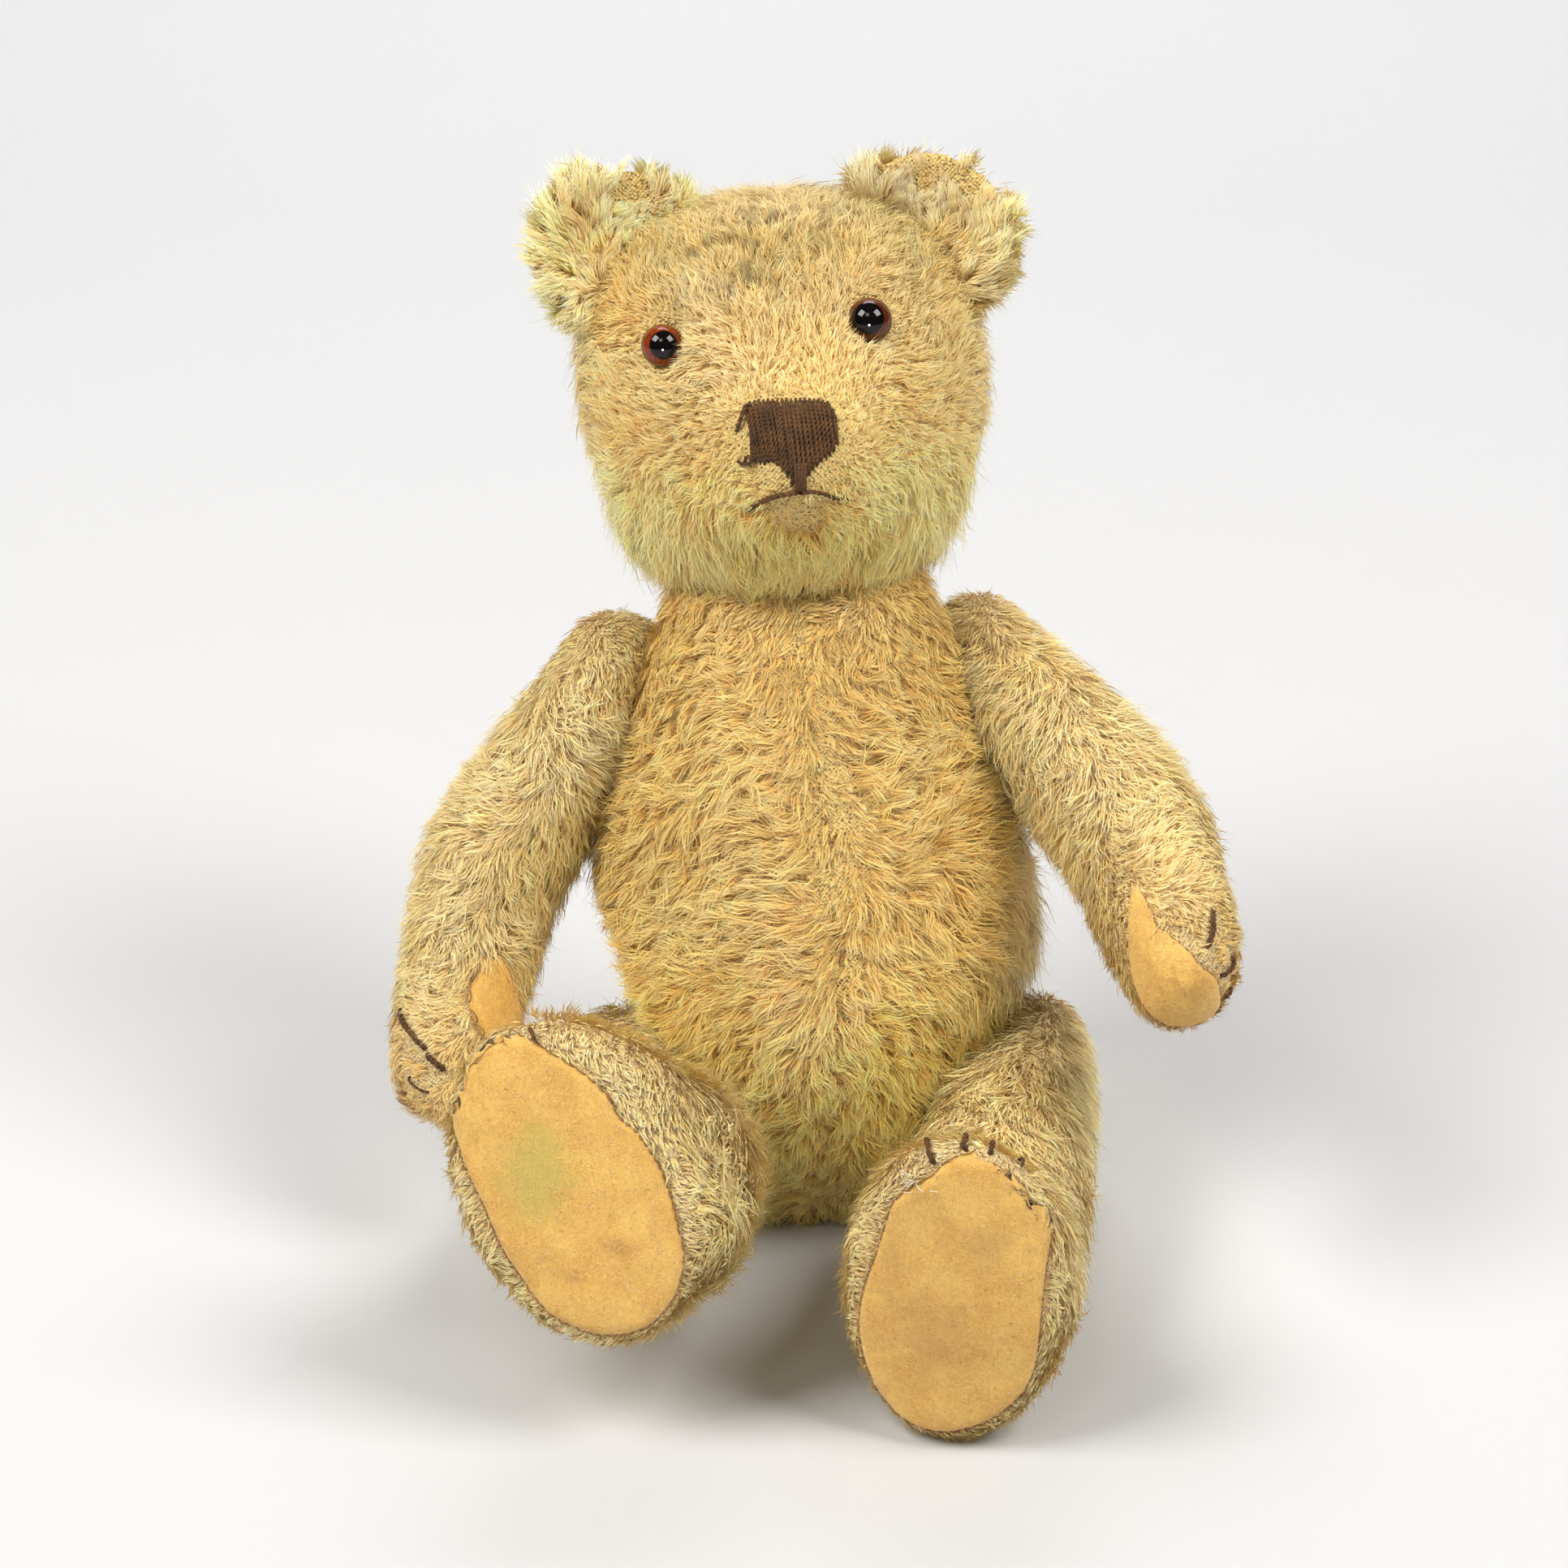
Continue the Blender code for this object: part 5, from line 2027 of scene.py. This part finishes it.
@dataclass
class Head(Furred):
    """The head: short pile brushed away from the muzzle, worn bare round the nose."""

    cut: PileCut = PileCut(95000, 6.8 * MM, 0.225 * MM, 0.46, 1.4 * MM, 0.12, 0.75, 0.14)
    bare: tuple[Spot, ...] = (
        Spot((-19.6, -2.6, 197.5), 4.2), Spot((6.0, -7.0, 196.4), 3.2),
        Spot((2.4, -13.0, 191.6), 6.4), Spot((-11.5, -12.4, 190.2), 5.4),
        Spot((-4.6, -12.1, 182.9), 7.0), Spot((-6.0, -13.0, 187.0), 5.5),
        Spot((-46.4, 35.3, 214.4), 5.0, 0.35))
    flecked: tuple[Spot, ...] = (Spot((-12.9, 30.0, 230.8), 17.0, 0.9),
                                 Spot((-4.0, 36.0, 233.0), 14.0, 0.8))
    orange: tuple[Spot, ...] = (
        Spot((-45.0, 33.0, 214.0), 10.0, 0.5), Spot((-25.7, 0.5, 185.3), 9.0, 0.35),
        Spot((-40.0, 16.6, 185.6), 12.0, 0.35), Spot((30.0, 30.0, 188.0), 12.0, 0.3),
        Spot((-6.0, -12.0, 188.0), 17.0, 0.35))

    def __post_init__(self) -> None:
        """Takes the head's lean from the neck's hinge."""
        place, axis = joint_named("neck_turn")
        self.stance = Stance.upright(place, axis, 4.0)
        self.muzzle = np.array([-6.0, -14.0, 196.0])
        self.nose = Nose()

    def comb(self, points: Array) -> Array:
        """Away from the muzzle, turning down over the cheeks and the nape."""
        away = points / MM - self.muzzle
        across, front, up = self.stance.measure(points)
        ahead = ease(-25.0, 18.0, front)
        down = self.stance.way(0.2 * np.tanh(across / 25.0), 0.0, -1.0)
        chin = ease(36.0, 14.0, up)
        mixed = unit(away) * (ahead * (1.0 - 0.75 * chin))[:, None] + down * (
            1.0 - 0.82 * ahead + 0.9 * chin)[:, None]
        crown = ease(58.0, 72.0, up) * ahead
        parting = self.stance.way(0.6 * np.tanh((across + 4.0) / 12.0), 0.0, 1.0)
        return unit(mixed + parting * (0.5 * crown)[:, None])

    def cover(self, points: Array) -> Array:
        """How much pile is left."""
        return np.clip(1.0 - 0.99 * spotted(points, self.bare), 0.01, 1.0) * (
            1.0 - self.nose.holds(points, 0.3))

    def reach(self, points: Array) -> Array:
        """Short on the muzzle and round the eyes, long at the back and under the chin."""
        away = np.linalg.norm(points / MM - self.muzzle, axis=1)
        across, front, up = self.stance.measure(points)
        length = 0.28 + 0.52 * ease(11.0, 40.0, away)
        length = length + 0.42 * ease(5.0, -30.0, front) + 0.75 * ease(32.0, 12.0, up)
        length = length + 0.25 * ease(28.0, 44.0, np.abs(across))
        for side in ("left", "right"):
            eye = np.linalg.norm(points - box_middle("eye_" + side), axis=1) / MM
            length = length * (0.30 + 0.70 * ease(5.2, 11.0, eye))
        return length

    def tone(self, points: Array) -> Array:
        """Greyish flecks on the forehead and orange wear on the brow and cheeks."""
        flecks = spotted(points, self.flecked, 0.5) * ease(0.0, 0.5, cloudy(points, 2.2 * MM, 71))
        height = self.stance.measure(points)[2]
        low = ease(10.0, 2.0, height)
        # Painted light: the pile under the chin is brightened, a little less in blue.
        chin = ease(36.0, 24.0, height)
        cloud = ease(0.1, 0.9, cloudy(points, 13.0 * MM, 73))
        # Painted shade: the top of the head is darkened and greyed.
        crown = ease(205.0 * MM, 228.0 * MM, points[:, 2])
        return toned(points, ((flecks, (0.46, 0.45, 0.38)),
                              (0.9 * crown, (0.70, 0.71, 0.66)),
                              (spotted(points, self.orange), (1.0, 0.84, 0.60)),
                              (-0.26 * chin, (0.0, 0.03, 0.12)),
                              (0.4 * low, (0.86, 0.74, 0.56)),
                              (0.3 * cloud, (0.97, 0.88, 0.72))))

    def build(self, finishes: Finishes) -> None:
        """Makes the head with its ears, eyes, nose and mouth.

        Args:
            finishes: the bear's materials.
        """
        skin = Skin("head", 2.4 * MM, seam=lambda p: (self.stance.measure(p)[0] + 60.0) * MM)
        skin.build(finishes.backing)
        Pile("head_pile", skin, self.cut, self, 201).grow(finishes.pile)
        relief = Relief(skin.points, skin.triangles)
        self.nose.build(relief, finishes.thread)
        Mouth().build(self.nose, relief, finishes.thread)
        Ear(Side.RIGHT, (Spot((-45.2, 54.8, 238.7), 6.5), Spot((-38.0, 54.5, 234.0), 4.0, 0.8)),
            0.15).build(finishes)
        Ear(Side.LEFT, (Spot((28.8, 59.1, 244.9), 9.0), Spot((19.5, 60.2, 244.0), 6.0),
                        Spot((35.0, 56.5, 240.0), 6.0))).build(finishes)
        amber = linear(150, 62, 20)
        Eye(Side.RIGHT, (0.10, -0.94, 0.34), 40.0, amber, linear(40, 16, 8),
            (0.0, -0.3, -1.0)).build()
        Eye(Side.LEFT, (-0.10, -0.90, 0.43), 43.0, linear(104, 48, 22), linear(30, 14, 8),
            (-0.9, -0.3, -0.6), 1.17).build()


# Limbs.

@dataclass
class Limb(Furred):
    """What arms and legs share: the way from hinge to pad, the pile and the claw stitches."""

    side: Side
    pattern: Pattern
    claws: tuple[ClawStitch, ...] = ()

    def named(self, stem: str) -> str:
        """A stem with the limb's side after it."""
        return f"{stem}_{self.side.value}"

    def find_way(self, skin: Skin, joint: str, pad: str) -> None:
        """Finds the limb's own directions, and where its claws press the pile.

        Args:
            skin: the limb's skin.
            joint: its hinge's name, without the side.
            pad: its pad's node, without the side.
        """
        self.hinge, axis = joint_named(self.named(joint) + "_swing")
        self.axis = axis * -self.side.sign
        towards = box_middle(self.named(pad)) - self.hinge
        self.towards = unit(towards - self.axis * (towards @ self.axis))
        self.relief = Relief(skin.points, skin.triangles)
        self.lines = [claw.path(self.relief, 0.0)[::6] for claw in self.claws]
        self.middle = float(((skin.points - self.hinge) @ self.axis).mean()) / MM

    def along(self, points: Array) -> Array:
        """How far along the limb each point is, in millimetres from its hinge."""
        return (points - self.hinge) @ self.towards / MM

    def off_middle(self, points: Array, spread: float) -> Array:
        """How far each point is to one side of the limb's middle, from -1 to 1."""
        return np.tanh(((points - self.hinge) @ self.axis / MM - self.middle) / spread)

    def pressed(self, value: Array, points: Array, least: float, near: float,
                far: float) -> Array:
        """Lowers a value where the claw stitches press the pile.

        Args:
            value: a number for each point.
            points: rows of positions.
            least: the share that is left right under a stitch.
            near: how far from a stitch the value starts to rise.
            far: how far from a stitch it is whole again.

        Returns:
            The lowered numbers.
        """
        for line in self.lines:
            value = value * (least + (1.0 - least) * ease(near, far, near_line(points, line)))
        return value

    def grow(self, skin: Skin, cut: PileCut, seed: int, material: Material) -> None:
        """Grows the limb's pile."""
        seed += self.side is Side.LEFT
        Pile(skin.node + "_pile", skin, cut, self, seed).grow(material)

    def sew(self, body: str, yarn: str, node: str, material: Material,
            lift: float = 1.5 * MM) -> None:
        """Lays the claw stitches over the pressed pile.

        Args:
            body: the body that they ride on.
            yarn: what the pieces are called, without side and number.
            node: what the CAD nodes are called, without side and number.
            material: their yarn.
            lift: how high they stand over the skin.
        """
        for number, claw in enumerate(self.claws, 1):
            stock = MeshStock()
            stock.yarn(claw.path(self.relief, lift), claw.radius, 0.62, 8)
            settle(stock.piece(f"{self.named(yarn)}_{number}", material), body,
                   [f"{self.named(node)}_{number}"])


@dataclass
class Arm(Limb):
    """An arm with its felt paw pad and claw stitches."""

    bare: tuple[Spot, ...] = ()
    cut: PileCut = PileCut(42000, 6.8 * MM, 0.275 * MM, 0.46, 1.4 * MM, 0.08, 0.9, 0.14,
                           linear(240, 198, 122), linear(249, 220, 150), linear(255, 242, 196))

    def build(self, finishes: Finishes) -> None:
        """Makes the arm.

        Args:
            finishes: the bear's materials.
        """
        skin = Skin(self.named("arm"), 2.2 * MM, swell=2.2 * MM)
        skin.build(finishes.pale_backing)
        felt = WoolFelt(self.named("felt_paw")).make()
        FeltPad(self.named("paw_felt"), self.named("paw_pad"), skin, felt, self.pattern,
                rings=16, sectors=72, fibres=1500).build(finishes)
        self.find_way(skin, "shoulder", "paw_pad")
        self.grow(skin, self.cut, 401, finishes.pile)
        self.sew(skin.node, "claw_yarn", "paw_claw", finishes.thread)

    def comb(self, points: Array) -> Array:
        """Down the arm, and away to both sides of its middle."""
        off = self.off_middle(points, 7.0)
        return unit(self.towards * 0.62 + self.axis * (0.2 + 0.85 * off)[:, None]
                    + np.array([0.0, 0.12, -0.2]))

    def cover(self, points: Array) -> Array:
        """Thin at the paw and pressed under the claws."""
        left = 1.0 - 0.95 * spotted(points, self.bare)
        return np.clip(self.pressed(left, points, 0.12, 0.8 * MM, 2.0 * MM), 0.03, 1.0)

    def reach(self, points: Array) -> Array:
        """Shorter towards the paw."""
        along = self.along(points)
        length = (1.05 - 0.4 * ease(45.0, 95.0, along)) * (1.0 - 0.5 * ease(12.0, -10.0, along))
        return self.pressed(length, points, 0.35, 1.0 * MM, 5.0 * MM)

    def tone(self, points: Array) -> Array:
        """A little greyer along the arm and golden at the paw."""
        cloud = ease(0.0, 0.9, cloudy(points, 12.0 * MM, 83))
        return toned(points, ((0.6 * ease(82.0, 100.0, self.along(points)), (0.98, 0.86, 0.64)),
                              (1.0, (0.985, 0.955, 0.89)),
                              (0.25 * cloud, (0.94, 0.92, 0.86))))


@dataclass
class Leg(Limb):
    """A leg with its felt sole and claw stitches."""

    worn_edge: tuple[Spot, ...] = ()
    stains: tuple[Stain, ...] = ()
    plump: tuple[Spot, ...] = ()
    frayed: LooseThread | None = None
    cut: PileCut = PileCut(53000, 6.2 * MM, 0.32 * MM, 0.42, 1.5 * MM, 0.08, 0.8, 0.14,
                           linear(243, 206, 134), linear(250, 225, 160), linear(255, 244, 204))

    def build(self, finishes: Finishes) -> None:
        """Makes the leg.

        Args:
            finishes: the bear's materials.
        """
        skin = Skin(self.named("leg"), 2.3 * MM, swell=1.6 * MM,
                    plump=lambda p: 2.2 * MM * spotted(p, self.plump, 0.0))
        skin.build(finishes.pale_backing)
        felt = WoolFelt(self.named("felt_sole"), self.stains).make()
        FeltPad(self.named("sole_felt"), self.named("foot_pad"), skin, felt,
                self.pattern).build(finishes)
        self.find_way(skin, "hip", "foot_pad")
        self.sole = solid_relief(lambda name: name == self.named("foot_pad"))
        self.grow(skin, self.cut, 501, finishes.pile)
        self.sew(skin.node, "foot_yarn", "foot_claw", finishes.thread)
        if self.frayed is not None:
            self.frayed.build(self.named("loose_thread"), skin.node, self.relief)

    def comb(self, points: Array) -> Array:
        """Down the leg, turning outwards on the thigh."""
        thigh = ease(60.0, 10.0, self.along(points))
        return unit(self.towards * (0.65 - 0.3 * thigh)[:, None]
                    + np.array([0.0, 0.0, -0.45])
                    + self.axis * (0.2 * thigh + 0.7 * self.off_middle(points, 9.0))[:, None])

    def cover(self, points: Array) -> Array:
        """Worn off along the sole and pressed under the claws."""
        left = 1.0 - 0.93 * spotted(points, self.worn_edge)
        left = self.pressed(left, points, 0.12, 0.8 * MM, 2.0 * MM)
        edge, _ = self.sole.nearest(points, 12.0 * MM)
        return np.clip(left * (1.0 + 0.7 * ease(9.0 * MM, 2.0 * MM, edge)), 0.04, 2.0)

    def reach(self, points: Array) -> Array:
        """Short at the sole's edge and longer up the leg."""
        along = self.along(points)
        edge, _ = self.sole.nearest(points, 14.0 * MM)
        length = (0.42 + 0.62 * ease(1.0 * MM, 12.0 * MM, edge)) * (
            1.0 + 0.25 * ease(80.0, 30.0, along) - 0.55 * ease(12.0, -12.0, along)) * (
            1.0 + 0.6 * spotted(points, self.plump))
        return self.pressed(length, points, 0.4, 1.0 * MM, 5.0 * MM)

    def tone(self, points: Array) -> Array:
        """Greyer towards the foot and darker near the ground."""
        cloud = ease(0.0, 0.9, cloudy(points, 10.0 * MM, 93))
        low = ease(20.0 * MM, 4.0 * MM, points[:, 2])
        return toned(points, ((0.5 * ease(40.0, 95.0, self.along(points)), (0.95, 0.97, 1.0)),
                              (1.0, (1.0, 0.945, 0.84)),
                              (0.3 * cloud, (0.94, 0.88, 0.78)), (0.2 * low, (0.9, 0.86, 0.8))))


def both_arms() -> tuple[Arm, Arm]:
    """The left arm and the right arm."""
    left = Arm(Side.LEFT, Pattern(
        (78.0, -60.0, 91.0), (-0.2, -0.96, 0.15),
        ((-9.7, 16.6), (-8.6, 13.0), (-7.8, 10.6), (-5.2, 9.0), (-2.0, 7.8), (2.3, 5.4),
         (5.4, 2.4), (8.2, -0.4), (9.0, -4.0), (8.8, -8.4), (6.0, -12.4), (1.0, -13.0),
         (-4.5, -10.0), (-8.5, -4.0), (-10.6, 3.0), (-11.8, 10.0), (-11.6, 15.0))),
        claws=(ClawStitch((86.6, -49.0, 101.2), (84.9, -59.0, 96.6), 0.6 * MM),
               ClawStitch((90.9, -54.2, 92.0), (88.0, -59.4, 89.8)),
               ClawStitch((91.3, -54.5, 84.9), (88.3, -58.2, 82.8), 0.4 * MM),
               ClawStitch((89.6, -53.8, 79.2), (87.4, -56.4, 78.2), 0.34 * MM)),
        bare=(Spot((79.5, -57.5, 98.5), 5.0), Spot((84.2, -62.2, 91.0), 5.0),
              Spot((87.5, -60.5, 84.0), 4.5), Spot((82.0, -61.0, 95.0), 5.0)))
    right = Arm(Side.RIGHT, Pattern(
        (-75.1, -17.9, 51.5), (0.916, -0.401, 0.018),
        ((-7.0, 0.0), (-6.4, 9.2), (-3.2, 15.0), (-0.1, 18.9), (2.5, 20.4), (4.3, 19.5),
         (4.6, 15.0), (5.8, 9.0), (7.5, 2.0), (8.0, -6.0), (5.0, -12.0), (0.0, -13.0),
         (-4.0, -9.0))),
        claws=(ClawStitch((-98.9, -14.4, 58.4), (-92.6, -27.0, 54.2), 0.68 * MM),
               ClawStitch((-92.2, -27.8, 53.2), (-88.4, -30.6, 50.8), 0.7 * MM),
               ClawStitch((-97.4, -28.4, 47.6), (-92.0, -32.1, 45.4), 0.3 * MM)),
        bare=(Spot((-96.7, -24.1, 53.3), 2.8), Spot((-90.6, -31.2, 48.5), 3.2)))
    return left, right


def both_legs() -> tuple[Leg, Leg]:
    """The right leg and the left leg."""
    right = Leg(Side.RIGHT, Pattern(
        (-54.2, -104.1, 61.6), (-0.046, -0.961, 0.272),
        ((-22.8, 32.0), (-17.6, 32.8), (-11.5, 32.0), (-7.2, 30.2), (2.4, 24.4), (6.8, 20.3),
         (9.4, 15.7), (13.8, 11.6), (19.1, 2.3), (22.7, -11.0), (22.9, -17.3), (21.0, -23.6),
         (16.7, -29.1), (11.5, -31.4), (5.3, -31.6), (-0.8, -29.6), (-6.1, -26.1),
         (-14.0, -14.7), (-19.3, -3.1), (-22.6, 3.9), (-24.8, 11.0), (-26.0, 18.0),
         (-26.0, 25.1), (-25.1, 29.6))),
        claws=(ClawStitch((-63.6, -92.0, 95.0), (-61.8, -98.0, 92.8), 0.42 * MM),),
        worn_edge=(Spot((-51.5, -99.5, 85.8), 3.4, 0.8), Spot((-46.0, -101.0, 80.0), 3.4, 0.8),
                   Spot((-38.5, -103.0, 73.6), 3.6, 0.9), Spot((-33.5, -105.0, 65.0), 3.8, 0.9),
                   Spot((-29.8, -107.7, 56.4), 3.8), Spot((-28.8, -109.5, 50.0), 3.8),
                   Spot((-29.3, -111.3, 44.0), 3.6, 0.9), Spot((-68.0, -96.0, 93.0), 3.4, 0.7)),
        stains=(Stain((-62.0, -106.1, 66.0), (11.5, 16.0, 15.0), linear(186, 178, 82), 0.6),
                Stain((-43.9, -111.0, 49.9), (5.0, 5.0, 3.5), linear(186, 130, 70), 0.5),
                Stain((-54.2, -112.8, 44.1), (4.0, 4.0, 3.0), linear(186, 130, 70), 0.5)),
        plump=(Spot((-22.0, -76.0, 46.0), 34.0), Spot((-26.0, -60.0, 34.0), 26.0)))
    left = Leg(Side.LEFT, Pattern(
        (26.3, -111.2, 38.0), (-0.236, -0.972, 0.019),
        ((6.0, 34.4), (-0.1, 33.0), (-4.4, 28.8), (-8.7, 25.2), (-12.0, 21.8), (-13.4, 17.1),
         (-15.6, 8.8), (-18.0, 0.4), (-19.0, -6.9), (-18.5, -13.9), (-16.6, -20.8),
         (-13.0, -27.5), (-9.4, -31.2), (-2.3, -33.0), (4.9, -31.0), (12.0, -26.1),
         (17.0, -19.2), (18.8, -12.4), (19.6, -4.2), (20.2, 6.0), (20.4, 15.9), (20.0, 24.0),
         (17.8, 30.0), (14.2, 33.0), (10.6, 34.4))),
        claws=(ClawStitch((43.4, -101.6, 70.8), (42.6, -106.4, 69.0), 0.4 * MM),
               ClawStitch((36.2, -102.6, 74.6), (35.0, -108.0, 72.6), 0.56 * MM),
               ClawStitch((30.2, -102.6, 76.2), (29.0, -108.4, 73.8), 0.58 * MM),
               ClawStitch((21.0, -100.6, 73.2), (23.0, -108.4, 70.0), 0.58 * MM)),
        worn_edge=(Spot((14.0, -108.0, 60.0), 3.4, 0.8), Spot((17.0, -109.4, 64.4), 3.8),
                   Spot((22.0, -110.4, 68.0), 4.0), Spot((27.8, -111.0, 70.8), 4.2),
                   Spot((33.6, -109.4, 72.0), 4.2), Spot((39.2, -107.0, 71.0), 4.0),
                   Spot((43.6, -105.0, 67.0), 3.4, 0.8)),
        stains=(Stain((24.0, -110.5, 30.0), (12.0, 16.0, 18.0), linear(198, 144, 76), 0.4),
                Stain((34.0, -113.5, 52.0), (7.0, 12.0, 9.0), linear(198, 146, 80), 0.35),
                Stain((14.5, -110.1, 46.0), (4.0, 8.0, 9.0), linear(190, 138, 72), 0.3)),
        frayed=LooseThread((17.5, -110.3, 65.5)))
    return right, left


# Hardware and studio.

class JointHardware:
    """The discs, washers, pins and eye wires, which keep their solids and get their finish."""

    def dress(self) -> None:
        """Gives each its material."""
        board, steel = Hardboard().make(), DullSteel().make()
        for name, node in frame["nodes"].items():
            if is_hardware(name):
                material = board if "disc" in name else steel
                for place in node.material_slots:
                    place.material = material


@dataclass(frozen=True)
class Lamp:
    """A soft square lamp, which looks at the bear or in a direction of its own."""

    name: str
    place: Triple
    size: float
    power: float
    colour: Colour = (1.0, 0.985, 0.94)
    way: Triple | None = None
    only_glints: bool = False

    def hang(self) -> None:
        """Makes the lamp."""
        lamp = bpy.data.lights.new(self.name, "AREA")
        lamp.shape = "SQUARE"
        lamp.size = self.size
        lamp.energy = self.power
        lamp.color = self.colour
        holder = placed(self.name, lamp)
        holder.location = self.place
        way = Vector((0.0, 0.0, 0.1)) - Vector(self.place) if self.way is None else Vector(self.way)
        holder.rotation_euler = way.to_track_quat("-Z", "Y").to_euler()
        holder.visible_diffuse = not self.only_glints


@dataclass
class Studio:
    """A pale sweep of paper, soft lights and the camera."""

    target: Triple = (-0.009, 0.0, 0.110)
    height: float = 24.0
    distance: float = 0.9
    lens: float = 88.27
    bend: float = 0.9
    lamps: tuple[Lamp, ...] = (
        Lamp("window_left", (-1.08, -0.56, 1.48), 0.85, 29.0),
        Lamp("window_right", (1.08, -0.52, 1.48), 0.85, 26.0),
        Lamp("front", (-0.35, -1.35, 1.75), 0.6, 5.0),
        Lamp("wash", (0.0, 1.3, 1.9), 1.2, 26.0, (1.0, 1.0, 1.0), way=(0.0, 0.6, -1.0)),
        Lamp("catch", (0.0, -1.0, 0.10), 0.17, 6.0, (1.0, 1.0, 1.0), only_glints=True))

    def build(self) -> None:
        """Makes the sweep, the lights and the camera."""
        self._sweep()
        for lamp in self.lamps:
            lamp.hang()
        world = bpy.data.worlds.new("room")
        bpy.context.scene.world = world
        world.use_nodes = True
        back = world.node_tree.nodes["Background"]
        back.inputs["Color"].default_value = (1.0, 0.99, 0.97, 1.0)
        back.inputs["Strength"].default_value = 0.04
        bpy.context.scene.view_settings.view_transform = "Standard"
        self._camera()

    def _sweep(self) -> None:
        """A floor that curves up into a backdrop."""
        profile = [(-5.0, 0.0), (self.bend, 0.0)]
        for step in range(1, 17):
            angle = math.pi / 2 * step / 16
            profile.append((self.bend + self.bend * math.sin(angle),
                            self.bend - self.bend * math.cos(angle)))
        profile.append((2.0 * self.bend, 3.0))
        across = np.linspace(-4.0, 4.0, 9)
        points = np.array([(x, y, z) for y, z in profile for x in across])
        wide = len(across)
        faces = [(r * wide + c, r * wide + c + 1, (r + 1) * wide + c + 1, (r + 1) * wide + c)
                 for r in range(len(profile) - 1) for c in range(wide - 1)]
        stock = MeshStock()
        stock.put(points, np.array(faces))
        stock.piece("paper_sweep", PaperSweep().make())

    def _camera(self) -> None:
        """The camera, a little above the bear and square to it."""
        angle = math.radians(self.height)
        ahead = Vector((0.0, math.cos(angle), -math.sin(angle)))
        camera = bpy.data.cameras.new("camera")
        camera.sensor_width = 36.0
        camera.lens = self.lens
        camera.clip_start = 0.01
        holder = placed("camera", camera)
        holder.location = Vector(self.target) - ahead * self.distance
        holder.rotation_euler = ahead.to_track_quat("-Z", "Y").to_euler()
        bpy.context.scene.camera = holder


def main() -> None:
    """Builds the studio, then each part of the bear; every piece is reported as it is fixed."""
    logging.basicConfig(level=logging.INFO, format="%(name)s: %(message)s")
    Studio().build()
    finishes = Finishes.mixed()
    JointHardware().dress()
    for part in (Torso(), Head(), *both_arms(), *both_legs()):
        part.build(finishes)
        log.info("%s finished", type(part).__name__)


if __name__ == "__main__":
    main()
